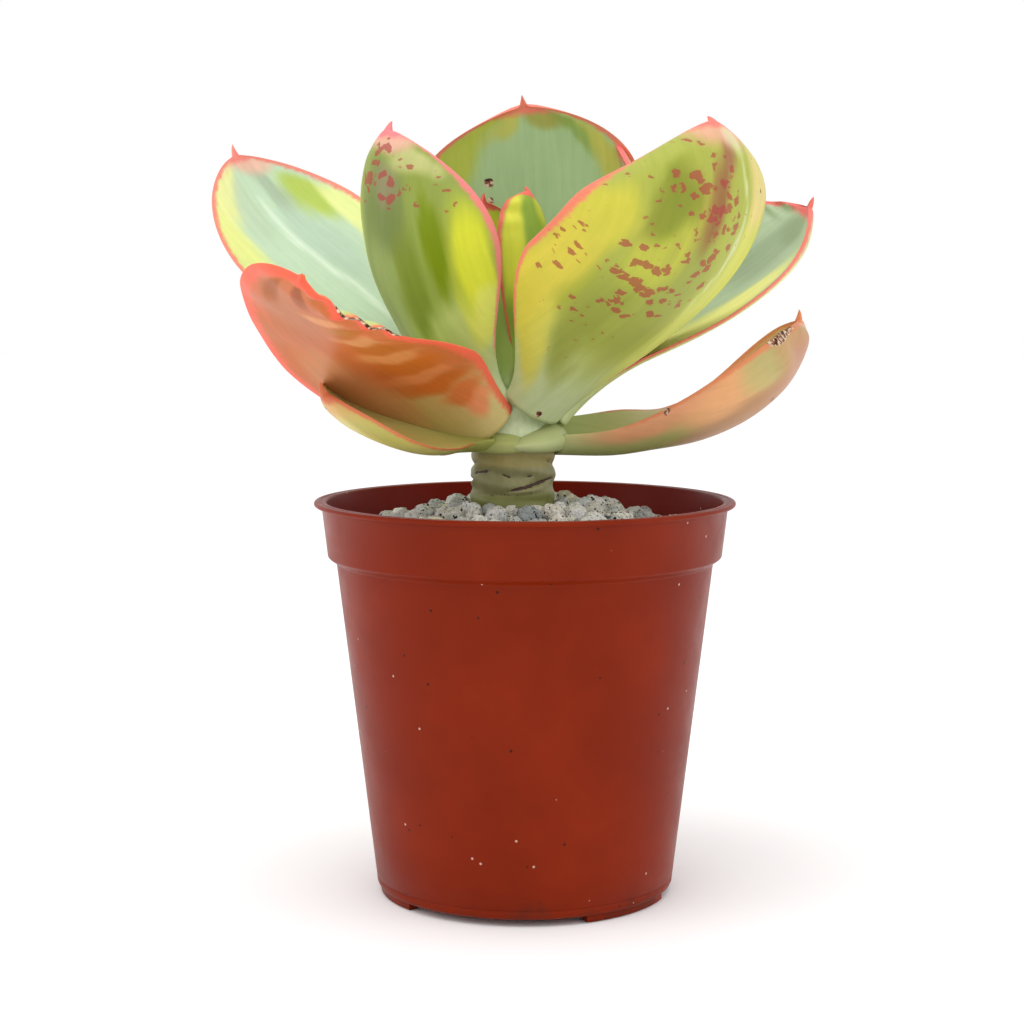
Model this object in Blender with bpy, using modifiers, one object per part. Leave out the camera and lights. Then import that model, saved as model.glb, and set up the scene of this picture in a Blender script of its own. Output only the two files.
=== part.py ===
"""Potted succulent: an open rosette of fleshy, keeled leaves on a bare stem, in a thin-walled nursery pot.

Metres, +Z up. The origin is on the surface that the pot stands on, at the middle of the pot's base.
The front is -Y. Directions seen from above are in degrees: 0 points to +X, 90 to the back.
"""

import math
from dataclasses import dataclass

import bmesh
import bpy
import numpy as np
from mathutils import Vector, noise
from mathutils.bvhtree import BVHTree

# Clearance that is kept between pieces that touch or press on each other
GAP = 0.0003
SMOOTH_ANGLE = 45.0

# Pot: rolled lip, slightly tapered collar, step, straight tapered body, raised base on three feet
POT_HEIGHT = 0.0985
WALL = 0.0012
LIP_RADIUS = 0.0525
LIP_THICKNESS = 0.0012
LIP_GROOVE = 0.0003
LIP_OVERHANG = 0.0019
COLLAR_RADIUS = LIP_RADIUS - LIP_OVERHANG
COLLAR_DEPTH = 0.0134
COLLAR_TAPER = 0.0014
STEP_DEPTH = 0.0022
STEP_HEIGHT = 0.0022
BASE_RADIUS = 0.0372
BASE_ROUNDING = 0.0012
BASE_LINE_HEIGHT = 0.0038
BASE_LINE_WIDTH = 0.0008
BASE_LINE_DEPTH = 0.00025
FLOOR = 0.0016
FOOT_HEIGHT = 0.0015
FOOT_WIDTH = 0.0026
FOOT_INSET = 0.0008
FOOT_COUNT = 3
FOOT_SPAN = 45.0
FIRST_FOOT = -66.0
FOOT_POINTS = 8
PAD_RADIUS = 0.007
DRAIN_COUNT = 6
DRAIN_RADIUS = 0.003
DRAIN_CIRCLE = 0.62 * BASE_RADIUS
ROUND_SIDES = 20
TURNED_STEPS = 60
STEP_POINTS = 6
COLLAR_LOW_RADIUS = COLLAR_RADIUS - COLLAR_TAPER
BODY_RADIUS = COLLAR_LOW_RADIUS - STEP_DEPTH
BODY_TOP = POT_HEIGHT - COLLAR_DEPTH - STEP_HEIGHT
FLOOR_TOP = FOOT_HEIGHT + FLOOR

# Potting mix below the pot's rim, and the layer of pumice on it, which is deepest round the stem
MIX_TOP = POT_HEIGHT - 0.0120
DRESSING_EDGE = MIX_TOP + 0.0035
DRESSING_CROWN = MIX_TOP + 0.0107
MOUND_RADIUS = 0.036
GRAIN = 0.0055
GRAIN_RELIEF = 0.0011
DRESSING_RINGS = 11

# Stem, from its buried foot to the crown that the leaves grow from
STEM_X = -0.0030
STEM_RADIUS = 0.0104
STEM_FOOT = MIX_TOP - 0.0205
STEM_FOOT_RADIUS = 0.0050
STEM_TOP = POT_HEIGHT + 0.0095
CROWN_TOP = STEM_TOP + 0.0210
CROWN_RADIUS = 0.0022
SCAR_PITCH = 0.0050
SCAR_RELIEF = 0.00030
CROWN_POINTS = 8
RING_POINTS = 4
BURIED_POINTS = 4
STEM_STEPS = 28

# Leaves
MM = 0.001
LEAF_SIZE = 1.0
LEAF_THICKNESS = 0.0042
LEAF_CLEARANCE = 0.0005
FULL_WIDTH = 30.0
LEAF_ROWS = 11
LEAF_COLUMNS = 6
EDGE_SHARE = 0.16
TIP_THINNING = 0.45
BLUNT_LENGTH = 0.12
BLUNT_SHARE = 0.05
ROW_BIAS = 1.3
TIP_WELD = 0.0004
MARGIN_POWER = 2.4
NECK_POWER = 1.7
SHOULDER_POWER = 0.62
CURL_POWER = 3.0
KEEL_ANGLE = 4.0
CUP_START = 0.5
MIDRIB_STEPS = 120


@dataclass
class Leaf:
    """One leaf: lengths in millimetres, angles in degrees, the rest as shares of its length or width.

    It leaves the crown towards turn, at height above the pot's rim. rise is the slope of its midrib there,
    bend is the slope that it gains evenly on the way to the tip, and curl what it gains near the tip. sweep
    turns it sideways. roll and twist tip the blade about its midrib. channel is how far each half is folded up
    at the base, and cup_left and cup_right how far beyond the middle. Left is anticlockwise, seen from above.
    """

    name: str
    turn: float
    height: float
    length: float
    width: float
    rise: float
    bend: float = 10.0
    curl: float = 20.0
    sweep: float = 0.0
    roll: float = 0.0
    twist: float = 0.0
    channel: float = 35.0
    cup_left: float = 30.0
    cup_right: float = 30.0
    widest: float = 0.62
    neck: float = 0.28
    tip: float = 2.4
    lean: float = 0.0
    colour: str = "#9FAE5C"


LEAVES = [
    Leaf(
        "leaf_left_low", turn=-138, height=13.3, length=54, width=46,
        rise=19, bend=-32, curl=51, sweep=11, roll=-15, twist=-23,
        channel=37, cup_left=42, cup_right=46, neck=0.30, tip=2.2,
        colour="#A9A04B",
    ),
    Leaf(
        "leaf_back_low", turn=98, height=13.9, length=76, width=46,
        rise=8, bend=18, curl=30, sweep=-8, twist=6,
        colour="#A8AE62",
    ),
    Leaf(
        "leaf_right_low", turn=15, height=15.1, length=84, width=51,
        rise=-4, bend=25, curl=65, sweep=34, roll=15, twist=-32,
        channel=43, cup_left=7, cup_right=72, widest=0.61, neck=0.31, tip=2.5,
        colour="#B98A5A",
    ),
    Leaf(
        "leaf_front_left_low", turn=-133, height=18.6, length=94, width=45,
        rise=34, bend=-31, curl=18, sweep=50, roll=43, twist=-79,
        channel=5, cup_left=-11, cup_right=1, widest=0.42, neck=0.34, tip=1.8, lean=-0.21,
        colour="#C9653F",
    ),
    Leaf(
        "leaf_back_right_low", turn=58, height=19.1, length=74, width=45,
        rise=26, bend=14, curl=26, sweep=6, twist=-4,
        colour="#A3B06A",
    ),
    Leaf(
        "leaf_back_left_low", turn=122, height=19.5, length=76, width=46,
        rise=30, bend=8, curl=24, sweep=-6, twist=5,
        colour="#A6B272",
    ),
    Leaf(
        "leaf_right", turn=12, height=21.0, length=85, width=43,
        rise=54, bend=-72, curl=85, sweep=-29, roll=40, twist=-4,
        cup_left=11, cup_right=37, widest=0.70, neck=0.25, tip=3.0,
        colour="#9DB08C",
    ),
    Leaf(
        "leaf_front_right", turn=-37, height=22.5, length=95, width=60,
        rise=43, bend=-46, curl=150, sweep=-21, roll=-18, twist=26,
        channel=20, cup_left=20, cup_right=50, widest=0.42, neck=0.30, tip=5.0, lean=-0.25,
        colour="#A39C42",
    ),
    Leaf(
        "leaf_back_right", turn=26, height=22.5, length=73, width=45,
        rise=51, bend=29, curl=39, sweep=-6, roll=-6, twist=-5,
        cup_left=1, cup_right=5, widest=0.60, tip=2.0,
        colour="#A9B76B",
    ),
    Leaf(
        "leaf_front_left", turn=-150, height=22.5, length=77, width=55,
        rise=42, bend=40, curl=35, sweep=18, roll=8, twist=-6,
        channel=39, cup_left=42, cup_right=49, widest=0.57, neck=0.33, tip=2.0, lean=0.05,
        colour="#A3A93F",
    ),
    Leaf(
        "leaf_back_left", turn=157, height=23.0, length=94, width=50,
        rise=49, bend=-45, curl=72, sweep=18, roll=-22, twist=-5,
        cup_left=-2, cup_right=15, widest=0.65, neck=0.29, tip=2.0,
        colour="#AFC3A4",
    ),
    Leaf(
        "leaf_back", turn=77, height=24.0, length=77, width=58,
        rise=69, bend=23, curl=25, sweep=-9, roll=10, twist=11,
        cup_left=24, cup_right=21, widest=0.68,
        colour="#9DB07A",
    ),
    Leaf(
        "leaf_centre_small", turn=-110, height=26.1, length=30, width=13,
        rise=65, bend=31, curl=28, sweep=-7, roll=-11, twist=-13,
        cup_left=40, cup_right=45, widest=0.61, tip=2.2,
        colour="#B4BE84",
    ),
    Leaf(
        "leaf_centre_right", turn=-58, height=28.5, length=49, width=25,
        rise=72, bend=20, curl=40, sweep=-10, roll=20, twist=18,
        cup_left=34, cup_right=27, widest=0.64, neck=0.30, tip=2.6,
        colour="#B0AE3A",
    ),
    Leaf(
        "leaf_centre_left", turn=128, height=28.9, length=46, width=24,
        rise=76, bend=8, curl=10, sweep=6,
        cup_left=38, cup_right=38,
        colour="#A9B052",
    ),
]


def colour(hex_code):
    """A linear RGBA value from an sRGB hex code."""
    parts = [int(hex_code[i : i + 2], 16) / 255 for i in (1, 3, 5)]
    linear = [p / 12.92 if p <= 0.04045 else ((p + 0.055) / 1.055) ** 2.4 for p in parts]
    return (*linear, 1.0)


def material(name, hex_code, roughness):
    made = bpy.data.materials.new(name)
    made.use_nodes = True
    shader = made.node_tree.nodes["Principled BSDF"]
    shader.inputs["Base Color"].default_value = colour(hex_code)
    shader.inputs["Roughness"].default_value = roughness
    shader.inputs["Metallic"].default_value = 0.0
    return made


def add_collection(name, parent):
    made = bpy.data.collections.new(name)
    parent.children.link(made)
    return made


def add_object(name, mesh, group):
    obj = bpy.data.objects.new(name, mesh)
    group.objects.link(obj)
    return obj


def move_to(obj, group):
    for holder in list(obj.users_collection):
        holder.objects.unlink(obj)
    group.objects.link(obj)


def hide_cutter(obj):
    obj.hide_render = True
    obj.display_type = "WIRE"
    return obj


def finish(obj, made_of):
    """Smooth shading with sharp edges kept, and one material."""
    obj.data.shade_smooth()
    obj.data.set_sharp_from_angle(angle=math.radians(SMOOTH_ANGLE))
    obj.data.materials.clear()
    obj.data.materials.append(made_of)


def bake(obj):
    """Gives the object the mesh that its modifiers make, and removes them."""
    graph = bpy.context.evaluated_depsgraph_get()
    graph.update()
    made = bpy.data.meshes.new_from_object(obj.evaluated_get(graph))
    obj.modifiers.clear()
    obj.data = made


def boolean(obj, operation, other):
    step = obj.modifiers.new(operation.title() + " " + other.name, "BOOLEAN")
    step.operation = operation
    step.object = other
    step.solver = "MANIFOLD"


def turned(name, profile, steps, group, centre_x=0.0):
    """A profile of (radius, height) points turned about Z. It runs down its outer side."""
    mesh = bpy.data.meshes.new(name)
    points = [(radius, 0.0, height) for radius, height in profile]
    mesh.from_pydata(points, [(i, i + 1) for i in range(len(points) - 1)], [])
    obj = add_object(name, mesh, group)
    obj.location.x = centre_x
    screw = obj.modifiers.new("Turn", "SCREW")
    screw.axis = "Z"
    screw.steps = steps
    screw.render_steps = steps
    screw.use_merge_vertices = True
    screw.merge_threshold = 0.00001
    return obj


def arc(radius_at, height_at, radius, start, end, count):
    """Points of an arc in a profile, from one angle to another in degrees, where 0 points outwards."""
    angles = [math.radians(start + (end - start) * i / (count - 1)) for i in range(count)]
    return [(radius_at + radius * math.cos(a), height_at + radius * math.sin(a)) for a in angles]


def step_curve(top_radius, count):
    """The smooth step from the collar in to the body, downwards."""
    points = []
    for i in range(count):
        share = i / (count - 1)
        inwards = STEP_DEPTH * (1 - math.cos(math.pi * share)) / 2
        points.append((top_radius - inwards, POT_HEIGHT - COLLAR_DEPTH - STEP_HEIGHT * share))
    return points


def body_radius(height):
    """Outer radius of the tapered body."""
    share = (height - FOOT_HEIGHT) / (BODY_TOP - FOOT_HEIGHT)
    return BASE_RADIUS + (BODY_RADIUS - BASE_RADIUS) * share


def inner_wall():
    """The pot's inner side, from the floor's edge up to the lip."""
    rising = [(body_radius(FLOOR_TOP) - WALL, FLOOR_TOP)]
    rising += reversed(step_curve(COLLAR_LOW_RADIUS - WALL, STEP_POINTS))
    rising.append((COLLAR_RADIUS - WALL, POT_HEIGHT - LIP_THICKNESS / 2))
    return rising


def inner_radius(height):
    heights = [point[1] for point in inner_wall()]
    radii = [point[0] for point in inner_wall()]
    return float(np.interp(height, heights, radii))


def pot_profile():
    lip_half = LIP_THICKNESS / 2
    groove = (COLLAR_RADIUS + LIP_RADIUS) / 2 - lip_half
    points = [(0.0, FLOOR_TOP)] + inner_wall()
    points += arc(COLLAR_RADIUS - WALL + lip_half, POT_HEIGHT - lip_half, lip_half, 150, 90, 3)
    points.append((groove - LIP_GROOVE, POT_HEIGHT))
    points.append((groove, POT_HEIGHT - LIP_GROOVE))
    points.append((groove + LIP_GROOVE, POT_HEIGHT))
    points += arc(LIP_RADIUS - lip_half, POT_HEIGHT - lip_half, lip_half, 90, -90, 5)
    points.append((COLLAR_RADIUS, POT_HEIGHT - LIP_THICKNESS))
    points += step_curve(COLLAR_LOW_RADIUS, STEP_POINTS)
    for share, cut in ((0.5, 0.0), (0.0, BASE_LINE_DEPTH), (-0.5, 0.0)):
        height = BASE_LINE_HEIGHT + BASE_LINE_WIDTH * share
        points.append((body_radius(height) - cut, height))
    corner = body_radius(FOOT_HEIGHT + BASE_ROUNDING) - BASE_ROUNDING
    points += arc(corner, FOOT_HEIGHT + BASE_ROUNDING, BASE_ROUNDING, 0, -90, 4)
    points.append((0.0, FOOT_HEIGHT))
    return points


def foot_outline(first):
    """A short stretch of ring, seen from above."""
    outer = BASE_RADIUS - FOOT_INSET
    inner = outer - FOOT_WIDTH
    angles = [math.radians(first + FOOT_SPAN * i / (FOOT_POINTS - 1)) for i in range(FOOT_POINTS)]
    points = [(outer * math.cos(a), outer * math.sin(a)) for a in angles]
    points += [(inner * math.cos(a), inner * math.sin(a)) for a in reversed(angles)]
    return points


def foot(name, first, group):
    """A flat outline with thickness. It stands on the surface and runs a little way into the floor."""
    height = FOOT_HEIGHT + FLOOR / 2
    flat = bpy.data.curves.new(name, "CURVE")
    flat.dimensions = "2D"
    flat.fill_mode = "BOTH"
    flat.extrude = height / 2
    outline = foot_outline(first)
    spline = flat.splines.new("POLY")
    spline.points.add(len(outline) - 1)
    spline.use_cyclic_u = True
    for point, (x, y) in zip(spline.points, outline):
        point.co = (x, y, 0.0, 1.0)
    curve = add_object(name + "_outline", flat, group)
    curve.location.z = height / 2
    graph = bpy.context.evaluated_depsgraph_get()
    mesh = bpy.data.meshes.new_from_object(curve.evaluated_get(graph))
    weld(mesh)
    solid = add_object(name, mesh, group)
    solid.matrix_world = curve.matrix_world
    solid.location.z = height / 2
    bpy.data.objects.remove(curve)
    return hide_cutter(solid)


def weld(mesh):
    work = bmesh.new()
    work.from_mesh(mesh)
    bmesh.ops.remove_doubles(work, verts=work.verts, dist=0.00001)
    bmesh.ops.recalc_face_normals(work, faces=work.faces)
    work.to_mesh(mesh)
    work.free()


def cylinder(name, radius, low, high, x, y, group):
    bpy.ops.mesh.primitive_cylinder_add(
        vertices=ROUND_SIDES, radius=radius, depth=high - low, location=(x, y, (low + high) / 2)
    )
    obj = bpy.context.object
    obj.name = name
    move_to(obj, group)
    return hide_cutter(obj)


def make_pot(parts, cutters):
    pot = turned("pot", pot_profile(), TURNED_STEPS, parts)
    for i in range(FOOT_COUNT):
        first = FIRST_FOOT + 360.0 * i / FOOT_COUNT
        boolean(pot, "UNION", foot(f"foot_{i + 1}", first, cutters))
    pad = cylinder("base_pad", PAD_RADIUS, 0.0, FOOT_HEIGHT + FLOOR / 2, 0.0, 0.0, cutters)
    boolean(pot, "UNION", pad)
    for i in range(DRAIN_COUNT):
        turn = 2 * math.pi * (i + 0.5) / DRAIN_COUNT
        x, y = DRAIN_CIRCLE * math.cos(turn), DRAIN_CIRCLE * math.sin(turn)
        hole = cylinder(f"drain_{i + 1}", DRAIN_RADIUS, FOOT_HEIGHT - FLOOR, FLOOR_TOP + FLOOR, x, y, cutters)
        boolean(pot, "DIFFERENCE", hole)
    bake(pot)
    finish(pot, material("terracotta_coloured_plastic", "#93301A", 0.38))


def crown_radius(height):
    """Radius of the stem above ground: even up to STEM_TOP, then drawn in to the growing point."""
    share = min(max((height - STEM_TOP) / (CROWN_TOP - STEM_TOP), 0.0), 1.0)
    return CROWN_RADIUS + (STEM_RADIUS - CROWN_RADIUS) * math.cos(share * math.pi / 2)


def stem_profile(swell=0.0):
    """From the growing point down to the buried foot, with a shallow ring for each row of old leaf scars."""
    points = [(0.0, CROWN_TOP + swell)]
    for i in range(CROWN_POINTS + 1):
        share = i / CROWN_POINTS
        height = CROWN_TOP + (STEM_TOP - CROWN_TOP) * share
        points.append((crown_radius(height) + swell, height + swell * (1 - share)))
    count = round((STEM_TOP - MIX_TOP) / SCAR_PITCH * RING_POINTS)
    for i in range(1, count + 1):
        ripple = SCAR_RELIEF * (math.cos(2 * math.pi * i / RING_POINTS) - 1)
        points.append((STEM_RADIUS + ripple + swell, STEM_TOP - SCAR_PITCH * i / RING_POINTS))
    last = STEM_TOP - SCAR_PITCH * count / RING_POINTS
    for i in range(1, BURIED_POINTS + 1):
        share = i / BURIED_POINTS
        radius = STEM_RADIUS + (STEM_FOOT_RADIUS - STEM_RADIUS) * share**2
        points.append((radius + swell, last + (STEM_FOOT - last) * share - swell * share))
    points.append((0.0, STEM_FOOT - swell))
    return points


def make_stem(parts):
    stem = turned("stem", stem_profile(), STEM_STEPS, parts, STEM_X)
    bake(stem)
    finish(stem, material("green_stem", "#8C8E62", 0.6))


def make_mix(parts, socket):
    """The potting mix fills the pot up to MIX_TOP and takes the stem's buried foot."""
    wall = [(r - GAP, z) for r, z in inner_wall() if FLOOR_TOP < z < MIX_TOP]
    wall = [(inner_radius(FLOOR_TOP) - 2 * GAP, FLOOR_TOP + GAP)] + wall
    wall.append((inner_radius(MIX_TOP) - GAP, MIX_TOP))
    profile = [(0.0, MIX_TOP)] + wall[::-1] + [(0.0, FLOOR_TOP + GAP)]
    mix = turned("potting_mix", profile, TURNED_STEPS, parts)
    boolean(mix, "DIFFERENCE", socket)
    bake(mix)
    finish(mix, material("peat_potting_mix", "#3A2A20", 0.95))


def dressing_height(radius):
    share = min(max((radius - (inner_radius(DRESSING_EDGE) - MOUND_RADIUS)) / MOUND_RADIUS, 0.0), 1.0)
    return DRESSING_EDGE + (DRESSING_CROWN - DRESSING_EDGE) * (1 + math.cos(math.pi * share)) / 2


def grain_relief(x, y):
    """Rounded lumps at the spacing of the grains."""
    near = noise.voronoi(Vector((x / GRAIN, y / GRAIN, 0.0)))[0][0]
    return GRAIN_RELIEF * (1 - 2 * min(near, 1.0))


def make_dressing(parts, socket):
    """A layer of pumice grains, heaped up a little round the stem."""
    outer = inner_radius(DRESSING_EDGE) - GAP
    radii = [outer * i / DRESSING_RINGS for i in range(DRESSING_RINGS + 1)]
    profile = [(r, dressing_height(r)) for r in radii]
    profile += [(inner_radius(MIX_TOP) - GAP, MIX_TOP + GAP), (0.0, MIX_TOP + GAP)]
    layer = turned("pumice_top_dressing", profile, TURNED_STEPS, parts)
    bake(layer)
    for vertex in layer.data.vertices:
        radius = math.hypot(vertex.co.x, vertex.co.y)
        on_top = vertex.co.z > MIX_TOP + 2 * GAP
        if on_top and radius < outer - GAP:
            vertex.co.z += grain_relief(vertex.co.x, vertex.co.y)
    boolean(layer, "DIFFERENCE", socket)
    bake(layer)
    finish(layer, material("pumice", "#B9B6AE", 0.9))


def flesh(leaf):
    """Thickness at the middle of the leaf's base. Narrow young leaves are thinner in proportion."""
    return LEAF_THICKNESS * min(1.0, leaf.width / FULL_WIDTH)


def blade_width(leaf, s):
    """Half width of the blade at a share s of its length."""
    low = leaf.neck + (1 - leaf.neck) * np.sin(np.pi / 2 * np.clip(s / leaf.widest, 0, 1)) ** NECK_POWER
    beyond = np.clip((s - leaf.widest) / (1 - leaf.widest), 0, 1)
    high = np.clip(1 - beyond**leaf.tip, 0, 1) ** SHOULDER_POWER
    return leaf.width / 2 * MM * LEAF_SIZE * np.where(s < leaf.widest, low, high)


def midrib(leaf, s):
    """Points, tangents and sideways directions of the midrib at the shares s of its length."""
    fine = np.linspace(0.0, 1.0, MIDRIB_STEPS + 1)
    slope = np.radians(leaf.rise + leaf.bend * fine + leaf.curl * fine**CURL_POWER)
    turn = np.radians(leaf.turn + leaf.sweep * fine**2)
    ahead = np.stack([np.cos(slope) * np.cos(turn), np.cos(slope) * np.sin(turn), np.sin(slope)], axis=1)
    walked = np.concatenate([np.zeros((1, 3)), np.cumsum((ahead[1:] + ahead[:-1]) / 2, axis=0)])
    walked *= leaf.length * MM * LEAF_SIZE / MIDRIB_STEPS
    dip = max(0.0, -math.sin(math.radians(leaf.rise))) * flesh(leaf)
    start_height = POT_HEIGHT + leaf.height * MM
    start_radius = crown_radius(start_height - flesh(leaf)) + GAP + dip
    start_turn = math.radians(leaf.turn)
    start_x = STEM_X + start_radius * math.cos(start_turn)
    walked += (start_x, start_radius * math.sin(start_turn), start_height)
    points = np.stack([np.interp(s, fine, walked[:, k]) for k in range(3)], axis=1)
    slope, turn = np.interp(s, fine, slope), np.interp(s, fine, turn)
    ahead = np.stack([np.cos(slope) * np.cos(turn), np.cos(slope) * np.sin(turn), np.sin(slope)], axis=1)
    left = np.stack([-np.sin(turn), np.cos(turn), np.zeros_like(turn)], axis=1)
    return points, ahead, left


def smoothstep(x):
    x = np.clip(x, 0.0, 1.0)
    return x * x * (3 - 2 * x)


def blade_points(leaf, s, v):
    """Points of the upper face: s runs from base to tip, v from the right margin (-1) to the left one (1)."""
    points, ahead, left = midrib(leaf, s)
    up = np.cross(ahead, left)
    tilt = np.radians(leaf.roll + leaf.twist * s)[:, None]
    across = left * np.cos(tilt) + up * np.sin(tilt)
    above = up * np.cos(tilt) - left * np.sin(tilt)
    beyond = smoothstep(s / CUP_START)[:, None]
    far_cup = np.where(v > 0, leaf.cup_left, leaf.cup_right)[None, :]
    cup = np.radians(leaf.channel * (1 - beyond) + far_cup * beyond)
    cup = np.where(np.abs(cup) < 1e-4, 1e-4, cup)
    keel = math.radians(KEEL_ANGLE)
    reach = np.abs(v)[None, :]
    outwards = (np.sin(keel + cup * reach) - math.sin(keel)) / cup
    upwards = (math.cos(keel) - np.cos(keel + cup * reach)) / cup
    side = np.sign(v)[None, :]
    half = blade_width(leaf, s)[:, None] * (1 + side * leaf.lean)
    shift = across[:, None, :] * (half * side * outwards)[:, :, None]
    return points[:, None, :] + shift + above[:, None, :] * (half * upwards)[:, :, None]


def blade_thickness(s, v):
    """Share of the full thickness: thin at the margins and the tip."""
    along = (1 - TIP_THINNING * s) * np.sqrt(np.clip((1 - s) / BLUNT_LENGTH, BLUNT_SHARE, 1.0))
    return along[:, None] * (EDGE_SHARE + (1 - EDGE_SHARE) * (1 - np.abs(v) ** MARGIN_POWER))[None, :]


def make_leaf(leaf, parts):
    bpy.ops.mesh.primitive_grid_add(x_subdivisions=LEAF_ROWS, y_subdivisions=LEAF_COLUMNS, size=2.0)
    obj = bpy.context.object
    obj.name = leaf.name
    move_to(obj, parts)
    flat = np.array([vertex.co[:2] for vertex in obj.data.vertices])
    rows = np.unique(np.round(flat[:, 0], 5))
    columns = np.unique(np.round(flat[:, 1], 5))
    s = 1 - (1 - (rows + 1) / 2) ** ROW_BIAS
    shape = blade_points(leaf, s, columns)
    share = blade_thickness(s, columns)
    group = obj.vertex_groups.new(name="thickness")
    for vertex, place in zip(obj.data.vertices, flat):
        row = int(np.argmin(np.abs(rows - place[0])))
        column = int(np.argmin(np.abs(columns - place[1])))
        vertex.co = shape[row, column]
        group.add([vertex.index], float(share[row, column]), "REPLACE")
    work = bmesh.new()
    work.from_mesh(obj.data)
    tips = [v for v in work.verts if (v.co - Vector(shape[-1, 0])).length < TIP_WELD]
    bmesh.ops.remove_doubles(work, verts=tips, dist=TIP_WELD)
    work.to_mesh(obj.data)
    work.free()
    shell = obj.modifiers.new("Flesh", "SOLIDIFY")
    shell.thickness = flesh(leaf)
    shell.offset = -1.0
    shell.vertex_group = "thickness"
    bake(obj)
    return obj


def keep_largest_piece(obj):
    """Drops the slivers that a cut leaves beside the blade."""
    work = bmesh.new()
    work.from_mesh(obj.data)
    waiting = set(work.verts)
    pieces = []
    while waiting:
        piece, open_ends = set(), [waiting.pop()]
        while open_ends:
            vertex = open_ends.pop()
            piece.add(vertex)
            near = {edge.other_vert(vertex) for edge in vertex.link_edges} & waiting
            waiting -= near
            open_ends += near
        pieces.append(piece)
    biggest = max(pieces, key=len)
    bmesh.ops.delete(work, geom=[v for v in work.verts if v not in biggest], context="VERTS")
    work.to_mesh(obj.data)
    work.free()


def tree_of(obj):
    graph = bpy.context.evaluated_depsgraph_get()
    graph.update()
    return BVHTree.FromObject(obj, graph)


def swollen_copy(obj, cutters):
    """The room that a leaf takes, with the clearance round it."""
    copy = add_object(obj.name + "_room", obj.data.copy(), cutters)
    grow = copy.modifiers.new("Room", "DISPLACE")
    grow.strength = LEAF_CLEARANCE
    grow.mid_level = 0.0
    return hide_cutter(copy)


def trim(older, younger_rooms, cutters):
    """Cuts the older leaf back, in one step, from every younger one that presses on it."""
    pressing = add_collection("pressing_on_" + older.name, cutters)
    body = tree_of(older)
    for room in younger_rooms:
        if body.overlap(tree_of(room)):
            pressing.objects.link(room)
    if pressing.objects:
        step = older.modifiers.new("Trim", "BOOLEAN")
        step.operation = "DIFFERENCE"
        step.operand_type = "COLLECTION"
        step.collection = pressing
        step.solver = "EXACT"
        step.use_self = True
        bake(older)
        keep_largest_piece(older)


def make_leaves(parts, cutters):
    """Older leaves are low and outside. An older leaf gives way where a younger one presses on it."""
    made = [make_leaf(leaf, parts) for leaf in LEAVES]
    rooms = [swollen_copy(obj, cutters) for obj in made]
    for i, obj in enumerate(made):
        trim(obj, rooms[i + 1 :], cutters)
    for leaf, obj in zip(LEAVES, made):
        finish(obj, material(leaf.name + "_skin", leaf.colour, 0.45))


def main():
    for obj in list(bpy.data.objects):
        bpy.data.objects.remove(obj)
    top = bpy.context.scene.collection
    parts = add_collection("potted_succulent", top)
    cutters = add_collection("cutters", top)
    make_pot(parts, cutters)
    make_stem(parts)
    socket = hide_cutter(turned("stem_socket", stem_profile(GAP), STEM_STEPS, cutters, STEM_X))
    make_mix(parts, socket)
    make_dressing(parts, socket)
    make_leaves(parts, cutters)


main()
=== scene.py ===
"""The looks of a potted succulent: fleshy leaves on a scarred stem, with pumice and potting mix in a nursery pot.

Metres, +Z up, the front is -Y. Directions seen from above are in degrees: 0 points to +X, 90 to the back.
"""

import math
from dataclasses import dataclass
from functools import partial

import bmesh
import bpy
import numpy as np
from mathutils import Matrix, Vector, noise


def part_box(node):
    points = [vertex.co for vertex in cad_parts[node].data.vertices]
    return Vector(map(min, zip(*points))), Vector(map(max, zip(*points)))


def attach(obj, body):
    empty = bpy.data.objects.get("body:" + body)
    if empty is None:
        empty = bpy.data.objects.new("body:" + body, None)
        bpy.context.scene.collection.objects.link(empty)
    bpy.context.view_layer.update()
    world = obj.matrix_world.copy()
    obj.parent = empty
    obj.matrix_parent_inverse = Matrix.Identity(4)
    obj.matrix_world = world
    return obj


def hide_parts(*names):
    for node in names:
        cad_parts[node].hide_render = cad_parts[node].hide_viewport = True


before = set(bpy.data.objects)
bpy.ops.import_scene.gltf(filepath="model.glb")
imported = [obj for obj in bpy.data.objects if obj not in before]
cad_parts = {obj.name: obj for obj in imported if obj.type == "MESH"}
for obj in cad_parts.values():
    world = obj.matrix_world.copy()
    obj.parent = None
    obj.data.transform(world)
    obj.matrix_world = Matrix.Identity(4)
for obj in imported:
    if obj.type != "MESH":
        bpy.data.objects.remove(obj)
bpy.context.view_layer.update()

MM = 0.001
SEED = 7

# Places taken from the frame
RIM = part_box("pot")[1].z
POT_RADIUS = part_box("pot")[1].x
STEM_LOW, STEM_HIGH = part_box("stem")
STEM_X = (STEM_LOW.x + STEM_HIGH.x) / 2
STEM_RADIUS = (STEM_HIGH.x - STEM_LOW.x) / 2
MIX_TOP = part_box("potting_mix")[1].z

# The pot's walls
WALL = 0.0012
LIP_THICKNESS = 0.0012
LIP_GROOVE = 0.0003
LIP_FILLET = 0.0002
COLLAR_RADIUS = POT_RADIUS - 0.0019
COLLAR_DEPTH = 0.0134
COLLAR_TAPER = 0.0014
STEP_DEPTH = 0.0022
STEP_HEIGHT = 0.0022
STEP_POINTS = 14
BASE_RADIUS = 0.0372
BASE_ROUNDING = 0.0012
BASE_LINE_HEIGHT = 0.0038
BASE_LINE_WIDTH = 0.0009
BASE_LINE_DEPTH = 0.00025
BODY_ROWS = 6
FLOOR = 0.0016
FOOT_HEIGHT = 0.0015
FOOT_WIDTH = 0.0026
FOOT_INSET = 0.0008
FOOT_SPAN = 45.0
FIRST_FOOT = -66.0
FOOT_COUNT = 3
FOOT_POINTS = 20
PAD_RADIUS = 0.007
DRAIN_COUNT = 6
DRAIN_RADIUS = 0.003
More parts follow.
